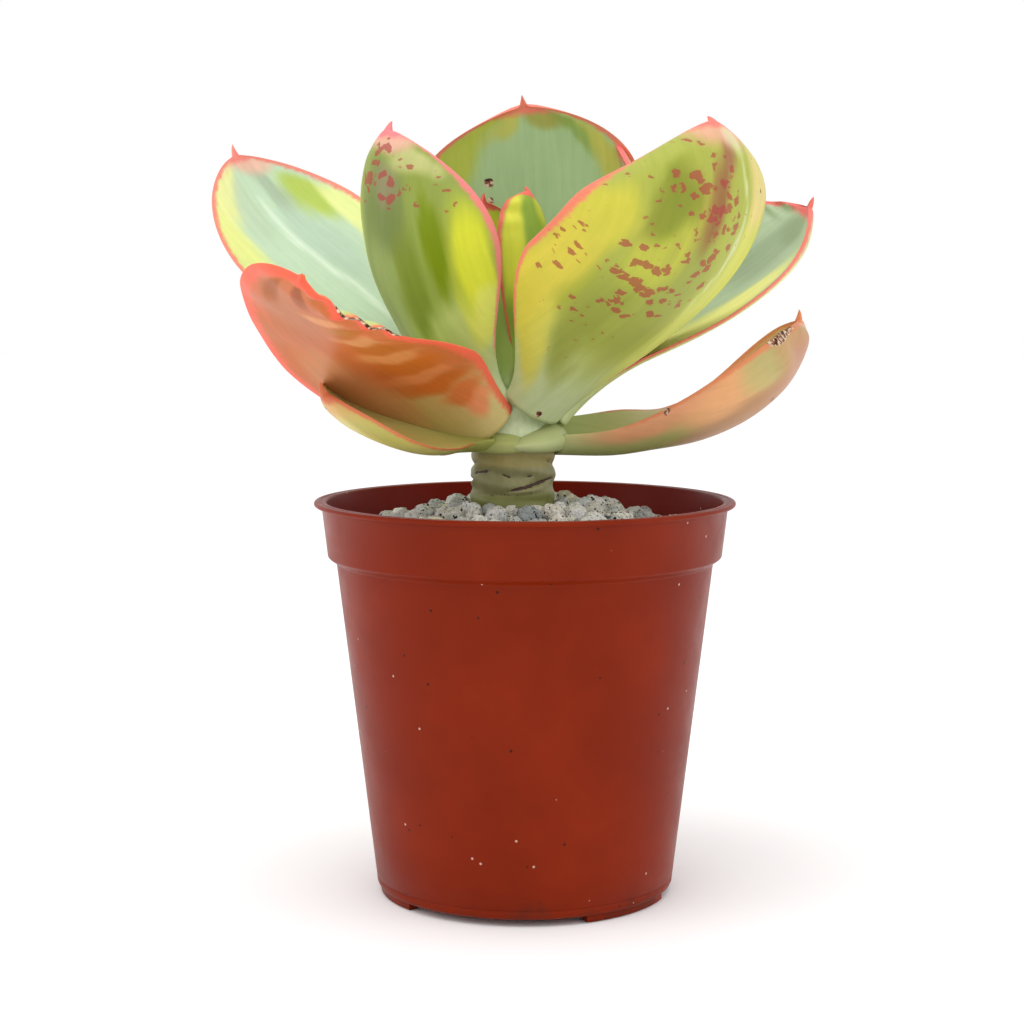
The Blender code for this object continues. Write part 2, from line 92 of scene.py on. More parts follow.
DRAIN_CIRCLE = 0.62 * BASE_RADIUS
POT_STEPS = 160
ROUND_SIDES = 32
SHARP_ANGLE = 40.0
COLLAR_LOW_RADIUS = COLLAR_RADIUS - COLLAR_TAPER
BODY_TOP = RIM - COLLAR_DEPTH - STEP_HEIGHT
FLOOR_TOP = FOOT_HEIGHT + FLOOR

# The pumice: a heap of grains that is deepest round the stem
DRESSING_EDGE = MIX_TOP + 0.0035
DRESSING_CROWN = MIX_TOP + 0.0107
MOUND_RADIUS = 0.036
DRESSING_RADIUS = 0.0478

# The stem below and above the place where the leaves start
STEM_TOP = RIM + 0.0095
CROWN_TOP = STEM_TOP + 0.0210
CROWN_RADIUS = 0.0022
SCAR_PITCH = 5.0

# The leaves' common shape
LEAF_THICKNESS = 0.0042
FULL_WIDTH = 30.0
EDGE_SHARE = 0.16
TIP_THINNING = 0.45
BLUNT_LENGTH = 0.12
MARGIN_POWER = 2.4
EDGE_POWER = 16
NECK_POWER = 1.7
SHOULDER_POWER = 0.62
CURL_POWER = 3.0
KEEL_ANGLE = 4.0
KEEL_SOFTNESS = 0.05
NEARLY_FLAT = 0.0001
CUP_START = 0.5
MIDRIB_STEPS = 240
MUCRO_LENGTH = 3.0
MUCRO_WIDTH = 2.4
MUCRO_POWER = 1.4
MUCRO_FALL = 2.6
JOIN_POWER = 2.5
POINT_BEYOND = 1.9
LEAF_ROWS = 120
LEAF_COLUMNS = 64
ROW_BIAS = 1.4

# Ripples near a leaf's margin, and shallow dents all over it
WAVE_AT, WAVE_SPREAD = 0.74, 0.27
WAVE_BEGUN, WAVE_ENDED = 0.15, 0.04
DENT_SIZE = 0.016
DENT_DEPTH = 0.45 * MM
DENT_ENDED = 0.1

# A patch is full up to PATCH_FULL of its half size and fades over PATCH_FADE of it. Slow noise in mm moves its edge
PATCH_FULL, PATCH_FADE = 0.5, 0.75
WANDER_SIZE, STREAK_SIZE = 7.0, 2.2
# How far apart in mm the patterns of a leaf's two faces, and of two leaves, are taken
FACE_APART, LEAF_APART = 40.0, 90.0


@dataclass
class Patch:
    """A soft-edged area on a leaf, at s of the way to its tip and v of the way to its left (1) or right (-1) margin.

    ds and dv are its half sizes as shares of the length and of the half width, and amount is its strength. face is
    u, l or b for upper, lower or both. colour is the colour painted there, the skin's own except on one patch that
    paints a highlight. Flecks and cork don't need it.
    """

    s: float
    v: float
    ds: float
    dv: float
    amount: float = 1.0
    face: str = "b"
    colour: str = ""


@dataclass
class Wave:
    """Ripples that run out towards a margin: height in mm, how many, where they start, and the side they are on."""

    height: float
    count: float
    start: float
    side: int
    phase: float = 0.0


@dataclass
class Leaf:
    """One leaf: lengths in millimetres, angles in degrees, the rest as shares of its length or width.

    It leaves the crown towards turn, at height above the pot's rim. rise is the slope of its midrib there, bend is
    the slope that it gains evenly on the way to the tip, and curl what it gains near the tip. sweep turns it
    sideways. roll and twist tip the blade about its midrib. channel is how far each half is folded up at the base,
    and cup_left and cup_right how far beyond the middle. Left is anticlockwise, seen from above.
    upper and lower are the colours of its two faces beyond the pale base, and rim is the red margin's width in mm.
    """

    name: str
    turn: float
    height: float
    length: float
    width: float
    rise: float
    bend: float = 10.0
    curl: float = 20.0
    sweep: float = 0.0
    roll: float = 0.0
    twist: float = 0.0
    channel: float = 35.0
    cup_left: float = 30.0
    cup_right: float = 30.0
    widest: float = 0.62
    neck: float = 0.28
    tip: float = 2.4
    lean: float = 0.0
    upper: str = "#B9C888"
    lower: str = "#A9B262"
    base: str = "#CBD8A4"
    rim: float = 1.0
    rim_colour: str = "#EA6A66"
    rim_from: float = 0.08
    patches: tuple = ()
    flecks: tuple = ()
    cork: tuple = ()
    waves: tuple = ()

    def __post_init__(self):
        self.patches, self.flecks, self.cork = (
            [Patch(*area) for area in areas] for areas in (self.patches, self.flecks, self.cork)
        )


LEAVES = [
    Leaf(
        "leaf_left_low", turn=-142, height=17.0, length=49, width=42,
        rise=0, bend=6, curl=56, roll=-19,
        channel=10, cup_left=14, cup_right=5, neck=0.30, tip=2.2,
        upper="#C9C275", lower="#B5AA58", base="#A9AC5E", rim=0.8, rim_colour="#C96A48",
        patches=(
            (0.75, 0.1, 0.3, 0.5, 1.0, "b", "#D8C878"), (0.95, 0.0, 0.12, 1.4, 0.7, "b", "#D9A070"),
            (0.25, 0.6, 0.22, 0.6, 0.6, "l", "#8F9440"),
        ),
        cork=((0.89, 0.06, 0.016, 0.05),),
    ),
    Leaf(
        "leaf_back_low", turn=98, height=13.9, length=76, width=46,
        rise=8, bend=18, curl=30, sweep=-8, twist=6,
        upper="#BFCB84", lower="#B4B668", rim=1.2, rim_colour="#DC7A5C",
        patches=((0.7, 0.5, 0.25, 0.4, 0.8, "b", "#CDBB60"), (0.88, 0.0, 0.12, 0.9, 0.8, "l", "#CF9A64")),
    ),
    Leaf(
        "leaf_right_low", turn=15, height=15.1, length=84, width=51,
        rise=-4, bend=25, curl=65, sweep=34, roll=15, twist=-32,
        channel=43, cup_left=7, cup_right=72, widest=0.61, neck=0.31, tip=2.5,
        upper="#C8BE7C", lower="#B9946A", base="#B9C184", rim=1.2, rim_colour="#D98059",
        patches=(
            (0.22, -0.5, 0.2, 0.6, 0.8, "l", "#A9AC66"), (0.3, -0.95, 0.28, 0.3, 0.9, "l", "#E09A72"),
            (0.48, -0.72, 0.16, 0.26, 0.9, "l", "#E3A673"), (0.55, -0.25, 0.22, 0.35, 0.9, "l", "#B0805A"),
            (0.62, -0.8, 0.1, 0.25, 0.7, "l", "#B7B070"), (0.78, -0.8, 0.12, 0.3, 0.7, "l", "#C2986A"),
            (0.8, -0.35, 0.16, 0.45, 0.8, "l", "#BE8A74"), (0.97, -0.4, 0.06, 1.2, 0.9, "b", "#EFA87E"),
            (0.7, 0.7, 0.3, 0.5, 0.8, "u", "#DFA070"),
        ),
        flecks=((0.8, -0.5, 0.2, 0.5, 0.25, "l"),),
        cork=((0.77, -1.0, 0.11, 0.12), (0.29, -0.97, 0.012, 0.06), (0.655, -0.34, 0.01, 0.03)),
        waves=(Wave(0.8, 2.5, 0.60, -1),),
    ),
    Leaf(
        "leaf_front_left_low", turn=-133, height=18.6, length=94, width=50,
        rise=34, bend=-31, curl=18, sweep=50, roll=43, twist=-79,
        channel=5, cup_left=-11, cup_right=1, widest=0.40, neck=0.46, tip=1.5, lean=-0.26,
        upper="#C6CF86", lower="#C86C38", base="#D6C080", rim=1.6, rim_colour="#F0644C", rim_from=-0.2,
        patches=(
            (0.16, -0.35, 0.12, 0.6, 0.8, "l", "#C9B070"), (0.32, -0.5, 0.2, 0.3, 0.8, "l", "#D29468"),
            (0.72, -0.45, 0.2, 0.45, 0.8, "l", "#BC6E42"), (0.12, 0.5, 0.05, 0.35, 0.8, "l", "#F08A5C"),
            (0.18, 0.4, 0.04, 0.42, 0.7, "l", "#D8642C"), (0.26, 0.28, 0.045, 0.52, 0.75, "l", "#C8601C"),
            (0.33, 0.25, 0.035, 0.48, 0.7, "l", "#E08A50"), (0.4, 0.33, 0.045, 0.45, 0.75, "l", "#C4661C"),
            (0.47, 0.28, 0.035, 0.45, 0.7, "l", "#DE9656"), (0.54, 0.38, 0.042, 0.42, 0.75, "l", "#BC6A24"),
            (0.605, 0.32, 0.036, 0.42, 0.7, "l", "#E2A46C"), (0.68, 0.3, 0.038, 0.36, 0.9, "l", "#BE7632"),
            (0.75, 0.15, 0.036, 0.36, 0.9, "l", "#DE935A"), (0.91, 0.02, 0.1, 0.16, 1.0, "l", "#A04A04"),
            (0.85, -0.53, 0.11, 0.14, 1.0, "l", "#A65208"), (0.75, -0.85, 0.15, 0.2, 0.7, "l", "#D8704C"),
        ),
        cork=((0.76, 1.0, 0.15, 0.07),),
        waves=(Wave(0.9, 4.2, 0.56, 1, 0.1), Wave(0.4, 3.0, 0.20, 1, 0.3), Wave(0.4, 3.0, 0.45, -1, 0.2)),
    ),
    Leaf(
        "leaf_back_right_low", turn=58, height=19.1, length=74, width=45,
        rise=26, bend=14, curl=26, sweep=6, twist=-4,
        upper="#B7C78C", lower="#AEB868", rim=1.1, rim_colour="#E4705F",
        patches=(
            (0.65, 0.6, 0.25, 0.3, 0.8, "b", "#D0CC50"), (0.6, -0.7, 0.25, 0.25, 0.7, "b", "#CFC64E"),
            (0.85, -0.2, 0.12, 0.6, 0.5, "l", "#B88A58"),
        ),
        flecks=((0.7, 0.2, 0.2, 0.5, 0.3, "l"),),
    ),
    Leaf(
        "leaf_back_left_low", turn=122, height=19.5, length=76, width=46,
        rise=30, bend=8, curl=24, sweep=-6, twist=5,
        upper="#BACB94", lower="#B2BC70", rim=1.1, rim_colour="#E4705F",
        patches=(
            (0.7, 0.6, 0.22, 0.3, 0.8, "b", "#D6D65C"), (0.55, -0.6, 0.28, 0.3, 0.7, "l", "#C8C850"),
            (0.86, 0.1, 0.12, 0.6, 0.5, "l", "#C09260"),
        ),
        flecks=((0.75, -0.2, 0.2, 0.5, 0.3, "l"),),
    ),
    Leaf(
        "leaf_right", turn=12, height=21.0, length=85, width=45,
        rise=54, bend=-72, curl=85, sweep=-29, roll=40, twist=-4,
        cup_left=11, cup_right=34, widest=0.70, neck=0.25, tip=3.0, lean=-0.06,
        upper="#AEBF9C", lower="#D3D68C", base="#D5DDA8", rim=1.6, rim_colour="#E0605E",
        patches=(
            (0.45, -0.75, 0.3, 0.38, 0.9, "u", "#E3E07A"), (0.68, -0.62, 0.18, 0.22, 0.9, "u", "#E9E688"),
            (0.8, 0.0, 0.2, 0.32, 0.9, "u", "#98A888"), (0.9, -0.15, 0.06, 0.25, 0.8, "u", "#8E9E78"),
            (0.55, -0.8, 0.4, 0.4, 0.8, "l", "#DCE08A"), (0.9, -0.5, 0.1, 0.5, 0.7, "l", "#C8C08A"),
        ),
        waves=(Wave(0.9, 4.0, 0.80, 1, 0.4),),
    ),
    Leaf(
        "leaf_front_right", turn=-37, height=22.5, length=95, width=60,
        rise=43, bend=-46, curl=150, sweep=-21, roll=-18, twist=26,
        channel=20, cup_left=20, cup_right=50, widest=0.42, neck=0.30, tip=4.2, lean=-0.25,
        upper="#B4C890", lower="#A9AE4C", base="#C9D4A2", rim=1.5, rim_colour="#EA746A",
        patches=(
            (0.22, -0.75, 0.16, 0.22, 0.9, "l", "#D8CF5A"), (0.45, -0.86, 0.3, 0.2, 1.0, "l", "#D5C54A"),
            (0.68, -0.74, 0.14, 0.2, 1.0, "l", "#CDC448"), (0.7, -0.34, 0.14, 0.2, 0.8, "l", "#A99C42"),
            (0.62, -0.36, 0.14, 0.14, 0.8, "l", "#BFC24A"), (0.32, -0.4, 0.22, 0.16, 0.8, "l", "#949A44"),
            (0.42, -0.62, 0.1, 0.12, 0.8, "l", "#A9AC3E"), (0.5, -0.1, 0.3, 0.18, 0.8, "l", "#9AA04C"),
            (0.76, -0.42, 0.1, 0.12, 0.8, "l", "#7F8A2C"), (0.4, 0.5, 0.3, 0.4, 0.9, "l", "#D2D670"),
            (0.62, 0.55, 0.16, 0.3, 0.9, "l", "#CFCF62"), (0.8, 0.62, 0.12, 0.3, 0.9, "l", "#DDC87C"),
            (0.76, -0.1, 0.12, 0.1, 0.85, "l", "#94603C"), (0.88, -0.02, 0.06, 0.1, 0.8, "l", "#9A5E48"),
            # Painted highlight: the narrow whitish line along the keel, at 0.7 of the length, stands in for light on
            # the keel
            (0.7, 0.2, 0.22, 0.035, 0.6, "l", "#E2E6C0"), (0.95, 0.05, 0.06, 0.9, 0.75, "l", "#F0A8A0"),
            (0.92, 0.15, 0.05, 0.22, 0.6, "l", "#D8DCB0"),
        ),
        flecks=(
            (0.64, -0.16, 0.26, 0.5, 1.4, "l"), (0.74, -0.05, 0.16, 0.16, 1.5, "l"),
            (0.42, -0.55, 0.28, 0.45, 0.85, "l"), (0.6, -0.9, 0.28, 0.16, 0.8, "l"), (0.78, 0.55, 0.16, 0.3, 0.6, "l"),
            (0.86, -0.5, 0.1, 0.4, 0.8, "l"),
        ),
        cork=((0.8, 0.64, 0.01, 0.025), (0.02, -0.28, 0.012, 0.08)),
    ),
    Leaf(
        "leaf_back_right", turn=26, height=22.5, length=73, width=45,
        rise=51, bend=29, curl=39, sweep=-6, roll=-6, twist=-5,
        cup_left=1, cup_right=5, widest=0.60, tip=2.0,
        upper="#B4C88E", lower="#A9BA6A", rim=2.2, rim_colour="#E8646A",
        patches=(
            (0.6, 0.6, 0.25, 0.3, 0.8, "b", "#CCD058"), (0.93, 0.0, 0.05, 0.8, 0.8, "b", "#F08A80"),
            (0.55, -0.6, 0.25, 0.3, 0.7, "l", "#C6C850"),
        ),
        flecks=((0.75, 0.0, 0.18, 0.6, 0.4, "l"),),
    ),
    Leaf(
        "leaf_front_left", turn=-149, height=22.5, length=77, width=53,
        rise=42, bend=40, curl=35, sweep=18, roll=8, twist=-6,
        channel=46, cup_left=42, cup_right=88, widest=0.57, neck=0.33, tip=2.0, lean=0.11,
        upper="#B6CA98", lower="#8E9A48", base="#CDD9A8", rim=1.3, rim_colour="#EE7A80",
        patches=(
            (0.28, 0.55, 0.16, 0.6, 0.8, "l", "#C9D28C"), (0.55, 0.02, 0.35, 0.1, 0.8, "l", "#9CAC6C"),
            (0.55, -0.16, 0.35, 0.12, 0.9, "l", "#87955A"), (0.5, 0.24, 0.26, 0.1, 0.9, "l", "#7F8E36"),
            (0.55, 0.38, 0.2, 0.07, 0.7, "l", "#94A450"), (0.6, 0.52, 0.18, 0.09, 0.95, "l", "#76890A"),
            (0.5, 0.8, 0.26, 0.2, 1.0, "l", "#D3D436"), (0.32, 0.84, 0.1, 0.18, 0.9, "l", "#DADB6A"),
            (0.86, 0.5, 0.05, 0.35, 0.7, "l", "#CFC88E"), (0.74, 0.08, 0.15, 0.26, 0.85, "l", "#74824A"),
            (0.94, 0.2, 0.05, 0.8, 0.8, "l", "#F2B0A8"), (0.8, 0.12, 0.07, 0.16, 0.7, "l", "#93846A"),
            (0.6, -0.6, 0.35, 0.35, 0.8, "l", "#CBD268"),
        ),
        flecks=((0.84, 0.12, 0.13, 0.4, 1.9, "l"), (0.8, 0.6, 0.12, 0.3, 1.2, "l")),
    ),
    Leaf(
        "leaf_back_left", turn=157, height=23.0, length=94, width=52,
        rise=49, bend=-45, curl=72, sweep=18, roll=-22, twist=-5,
        cup_left=-2, cup_right=15, widest=0.65, neck=0.29, tip=2.0,
        upper="#C6DCC0", lower="#B4C27A", base="#D2E6BE", rim=1.3, rim_colour="#F08078",
        patches=(
            (0.7, 0.84, 0.22, 0.26, 1.0, "u", "#E6EA92"), (0.5, 0.9, 0.2, 0.25, 0.8, "u", "#D9E8A8"),
            (0.88, 0.62, 0.09, 0.35, 0.9, "u", "#ECEBA0"), (0.78, -0.62, 0.12, 0.26, 0.95, "u", "#B9CC5C"),
            (0.64, -0.85, 0.16, 0.22, 0.9, "u", "#EEF2A0"), (0.86, -0.28, 0.11, 0.16, 0.8, "u", "#A9B9A0"),
            (0.62, -0.25, 0.2, 0.22, 0.7, "u", "#BAD0BC"), (0.6, 0.02, 0.42, 0.045, 0.75, "u", "#E6F4E2"),
            (0.8, 0.3, 0.12, 0.2, 0.7, "u", "#C0D2B6"), (0.96, 0.0, 0.05, 1.2, 0.8, "b", "#F6B8A8"),
        ),
    ),
    Leaf(
        "leaf_back", turn=77, height=24.0, length=77, width=58,
        rise=69, bend=23, curl=25, sweep=-9, roll=10, twist=11,
        cup_left=24, cup_right=21, widest=0.68,
        upper="#B4CC9C", lower="#A8B868", base="#C8DAB0", rim=1.4, rim_colour="#EE7A6E",
        patches=(
            (0.82, 0.72, 0.16, 0.28, 0.95, "u", "#C0C654"), (0.9, 0.3, 0.06, 0.22, 0.8, "u", "#CCC45C"),
            (0.88, -0.62, 0.08, 0.14, 0.7, "u", "#93A84E"), (0.78, -0.8, 0.16, 0.18, 0.9, "u", "#D0C860"),
            (0.93, -0.3, 0.05, 0.35, 0.8, "u", "#A8A048"), (0.96, 0.45, 0.05, 0.5, 0.7, "u", "#D8CC50"),
            (0.6, 0.5, 0.3, 0.3, 0.7, "l", "#C8CC58"),
        ),
        flecks=((0.75, -0.1, 0.2, 0.6, 0.35, "l"),),
        cork=((0.72, 0.36, 0.022, 0.045, 1.0, "u"), (0.66, 0.34, 0.014, 0.03, 1.0, "u")),
    ),
    Leaf(
        "leaf_centre_small", turn=-110, height=26.1, length=30, width=13,
        rise=65, bend=31, curl=28, sweep=-7, roll=-11, twist=-13,
        cup_left=40, cup_right=45, widest=0.61, tip=2.2,
        upper="#BFCF90", lower="#B6C274", base="#D4E0B0", rim=0.4, rim_colour="#E27A72",
        patches=((0.45, 0.35, 0.3, 0.4, 0.8, "l", "#A0B25C"), (0.95, 0.0, 0.08, 1.2, 0.9, "b", "#E89A84")),
    ),
    Leaf(
        "leaf_centre_right", turn=-58, height=28.5, length=49, width=25,
        rise=72, bend=20, curl=40, sweep=-10, roll=20, twist=18,
        cup_left=34, cup_right=27, widest=0.64, neck=0.30, tip=2.6,
        upper="#AECB90", lower="#8CA436", base="#BFD08C", rim=0.8, rim_colour="#E8655E",
        patches=(
            (0.7, -0.72, 0.3, 0.3, 1.0, "l", "#DCD84A"), (0.62, 0.72, 0.3, 0.3, 0.9, "l", "#D8D24A"),
            (0.88, 0.2, 0.12, 0.25, 0.8, "l", "#D2CE48"), (0.97, 0.0, 0.06, 1.2, 0.9, "b", "#EE6E62"),
        ),
        waves=(Wave(0.5, 3.0, 0.70, -1, 0.1),),
    ),
    Leaf(
        "leaf_centre_left", turn=128, height=28.9, length=46, width=24,
        rise=76, bend=8, curl=10, sweep=6,
        cup_left=38, cup_right=38,
        upper="#B6C850", lower="#A9BA58", base="#BFD08C", rim=0.8, rim_colour="#E05A58",
        patches=((0.8, 0.0, 0.2, 0.8, 0.8, "b", "#CFC832"), (0.97, 0.0, 0.05, 1.2, 0.8, "b", "#EE7A62")),
    ),
]


def srgb(hex_code):
    return np.array([int(hex_code[i : i + 2], 16) / 255 for i in (1, 3, 5)])


def to_linear(values):
    """Linear values from sRGB ones."""
    values = np.clip(values, 0.0, 1.0)
    return np.where(values <= 0.04045, values / 12.92, ((values + 0.055) / 1.055) ** 2.4)


def colour(hex_code):
    return (*to_linear(srgb(hex_code)), 1.0)


def smoothstep(x):
    x = np.clip(x, 0.0, 1.0)
    return x * x * (3 - 2 * x)


def feed(node, inputs):
    """Gives each of a node's sockets a value, or another node's output to link from."""
    for key, value in inputs.items():
        if isinstance(value, bpy.types.NodeSocket):
            node.id_data.links.new(value, node.inputs[key])
        else:
            node.inputs[key].default_value = value


def add_node(tree, kind, inputs=None, stops=(), out=0, **settings):
    """Adds a node with its settings, inputs and colour stops, and returns one of its outputs."""
    node = tree.nodes.new("ShaderNode" + kind)
    for key, value in settings.items():
        setattr(node, key, value)
    feed(node, inputs or {})
    for i, (place, shade) in enumerate(stops):
        ramp = node.color_ramp.elements
        stop = ramp[i] if i < 2 else ramp.new(place)
        stop.position = place
        stop.color = colour(shade)
    return node.outputs[out]


def new_material(name):
    """A material, a function that adds a node to it, and its shader."""
    made = bpy.data.materials.new(name)
    made.use_nodes = True
    return made, partial(add_node, made.node_tree), made.node_tree.nodes["Principled BSDF"]


def in_millimetres(add):
    """The place on the object in millimetres, so that a pattern's scale is one over its size in millimetres."""
    place = add("TexCoord", out="Object")
    return add("Mapping", {"Vector": place, "Scale": (1 / MM,) * 3})


# Sockets and settings of a mix of two colours
MIX_A, MIX_B = 6, 7
BLEND = {"out": 2, "data_type": "RGBA"}
MULTIPLY = {"blend_type": "MULTIPLY", **BLEND}
SOFT = {"interpolation_type": "SMOOTHSTEP"}


def leaf_skin():
    """Waxy skin of an echeveria: a matt, slightly translucent rind with a thin bloom.

    The eye sees long faint streaks along the blade, a margin flushed red with a ragged inner edge, wine-red flecks,
    and brown cork where the edge was once hurt. The blade attribute is the place on the blade in millimetres.
    """
    made, add, shader = new_material("waxy_leaf_skin")
    blade = add("Attribute", out="Vector", attribute_name="blade")
    skin = add("Attribute", attribute_name="skin")
    flush = add("Attribute", attribute_name="flush")
    mark = add("SeparateColor", {"Color": add("Attribute", attribute_name="marks")}).node
    # Streaks about 1.5 mm wide and 20 mm long
    stretched = add("Mapping", {"Vector": blade, "Scale": (0.65, 0.05, 1.0)})
    streaks = add("TexNoise", {"Vector": stretched, "Scale": 1.0, "Detail": 4.0, "Roughness": 0.6})
    streak = add("MapRange", {"Value": streaks, "From Min": 0.35, "From Max": 0.68, "To Max": 0.42})
    streaked = add("Mix", {0: streak, MIX_A: skin, MIX_B: (0.74, 0.84, 0.70, 1.0)}, **MULTIPLY)
    # A bloom of wax in clouds about 4 mm across
    mottle = add("TexNoise", {"Vector": blade, "Scale": 0.25, "Detail": 5.0, "Roughness": 0.6})
    wax = add("MapRange", {"Value": mottle, "From Min": 0.4, "From Max": 0.75, "To Max": 0.35})
    bloomed = add("Mix", {0: wax, MIX_A: streaked, MIX_B: (1.12, 1.10, 1.14, 1.0)}, **MULTIPLY)
    # The red margin fades inwards in tongues about 2 mm wide
    tongues = add("TexNoise", {"Vector": blade, "Scale": 0.5, "Detail": 5.0, "Roughness": 0.65})
    edge = add("Math", {0: mark.outputs["Red"], 1: tongues}, operation="ADD")
    red = add("MapRange", {"Value": edge, "From Min": 0.72, "From Max": 1.34, "To Max": 0.9}, **SOFT)
    flushed = add("Mix", {0: red, MIX_A: bloomed, MIX_B: flush}, **BLEND)
    # Wine-red flecks, 0.5 to 3 mm across with ragged outlines: more and larger where the mark is strong
    ragged = add("TexNoise", {"Vector": blade, "Scale": 0.6, "Detail": 3.0}, out="Color")
    aside = add("VectorMath", {0: ragged, 1: (3.0, 3.0, 0.0)}, operation="MULTIPLY")
    moved = add("VectorMath", {0: blade, 1: aside}, operation="ADD")
    blots = add("TexVoronoi", {"Vector": moved, "Scale": 0.50}).node
    luck = add("SeparateColor", {"Color": blots.outputs["Color"]})
    lucky = add("Math", {0: luck, 1: 1.5}, operation="POWER")
    reach = add("Math", {0: mark.outputs["Green"], 1: lucky}, operation="MULTIPLY")
    size = add("Math", {0: reach, 1: 0.48}, operation="MULTIPLY")
    within = add("Math", {0: size, 1: blots.outputs["Distance"]}, operation="SUBTRACT")
    fleck = add("MapRange", {"Value": within, "From Max": 0.14, "To Max": 0.75}, **SOFT)
    flecked = add("Mix", {0: fleck, MIX_A: flushed, MIX_B: colour("#A03C3A")}, **BLEND)
    # Cork: dark cracks about 1.4 mm apart in dry pale brown
    cracks = add("TexNoise", {"Vector": blade, "Scale": 0.7, "Detail": 4.0, "Roughness": 0.6})
    bark = add("ValToRGB", {0: cracks}, ((0.42, "#3A1C12"), (0.50, "#9A6244"), (0.58, "#E6CDB4")))
    hurt = add("Math", {0: mark.outputs["Blue"], 1: cracks}, operation="ADD")
    cork = add("MapRange", {"Value": hurt, "From Min": 0.95, "From Max": 1.08})
    corked = add("Mix", {0: cork, MIX_A: flecked, MIX_B: bark}, **BLEND)
    # Skin cells about 0.7 mm apart, drawn coarser than the real ones so that they show
    cells = add("TexNoise", {"Vector": blade, "Scale": 1.4, "Detail": 3.0})
    cell_bump = add("Bump", {"Height": cells, "Strength": 0.10, "Distance": 0.15 * MM})
    bump = add("Bump", {"Height": cracks, "Strength": cork, "Distance": 1.0 * MM, "Normal": cell_bump})
    rough = add("MapRange", {"Value": mottle, "To Min": 0.36, "To Max": 0.54})
    feed(shader, {
        "Base Color": corked, "Normal": bump, "Roughness": rough, "IOR": 1.42, "Specular IOR Level": 0.25,
        "Subsurface Weight": 0.12, "Subsurface Radius": (1.0, 0.8, 0.3), "Subsurface Scale": 0.002,
    })
    return made


def stem_skin():
    """Young woody stem: smooth green-cream rind, whose olive is darkened as painted shade from the rosette above, with
    brown cork along the scars that old leaves left.
    """
    made, add, shader = new_material("scarred_green_stem")
    skin = add("Attribute", attribute_name="skin")
    scar = add("SeparateColor", {"Color": add("Attribute", attribute_name="marks")})
    # Long fibres up the stem, about 1 mm apart
    fibres = add("Mapping", {"Vector": add("TexCoord", out="Object"), "Scale": (1000.0, 1000.0, 260.0)})
    grain = add("TexNoise", {"Vector": fibres, "Scale": 0.8, "Detail": 5.0, "Roughness": 0.65})
    tint = add("MapRange", {"Value": grain, "From Min": 0.35, "From Max": 0.7, "To Max": 0.5})
    shaded = add("Mix", {0: tint, MIX_A: skin, MIX_B: (0.72, 0.70, 0.50, 1.0)}, **MULTIPLY)
    edge = add("Math", {0: scar, 1: grain}, operation="ADD")
    cork = add("MapRange", {"Value": edge, "From Min": 0.84, "From Max": 1.06}, **SOFT)
    corked = add("Mix", {0: cork, MIX_A: shaded, MIX_B: colour("#3B1E12")}, **BLEND)
    bump = add("Bump", {"Height": grain, "Strength": 0.35, "Distance": 0.4 * MM})
    feed(shader, {
        "Base Color": corked, "Normal": bump, "Roughness": 0.52,
        "Subsurface Weight": 0.06, "Subsurface Radius": (1.0, 0.8, 0.4), "Subsurface Scale": 0.001,
    })
    return made


def pumice():
    """Crushed pumice: dry, chalky grey-white froth, full of pits under 1 mm and peppered with black mineral grains."""
    made, add, shader = new_material("crushed_pumice")
    tone = add("Attribute", attribute_name="skin")
    place = in_millimetres(add)
    froth = add("TexNoise", {"Vector": place, "Scale": 0.9, "Detail": 6.0, "Roughness": 0.7})
    shade = add("ValToRGB", {0: froth}, ((0.30, "#A9A7A2"), (0.46, "#E4E3DF"), (0.62, "#FFFFFF")))
    body = add("Mix", {0: 1.0, MIX_A: tone, MIX_B: shade}, **MULTIPLY)
    # Mineral grains up to 0.9 mm across, in clusters about 3 mm wide
    minerals = add("TexVoronoi", {"Vector": place, "Scale": 0.95})
    chance = add("TexNoise", {"Vector": place, "Scale": 0.35, "Detail": 2.0})
    size = add("MapRange", {"Value": chance, "From Min": 0.45, "From Max": 0.75, "To Min": 0.16, "To Max": 0.46})
    near = add("Math", {0: minerals, 1: size}, operation="LESS_THAN")
    peppered = add("Mix", {0: near, MIX_A: body, MIX_B: colour("#1C1C1E")}, **BLEND)
    pits = add("TexVoronoi", {"Vector": place, "Scale": 1.6})
    both = add("Math", {0: pits, 1: froth}, operation="ADD")
    bump = add("Bump", {"Height": both, "Strength": 0.8, "Distance": 0.5 * MM})
    feed(shader, {"Base Color": peppered, "Normal": bump, "Roughness": 0.92})
    return made


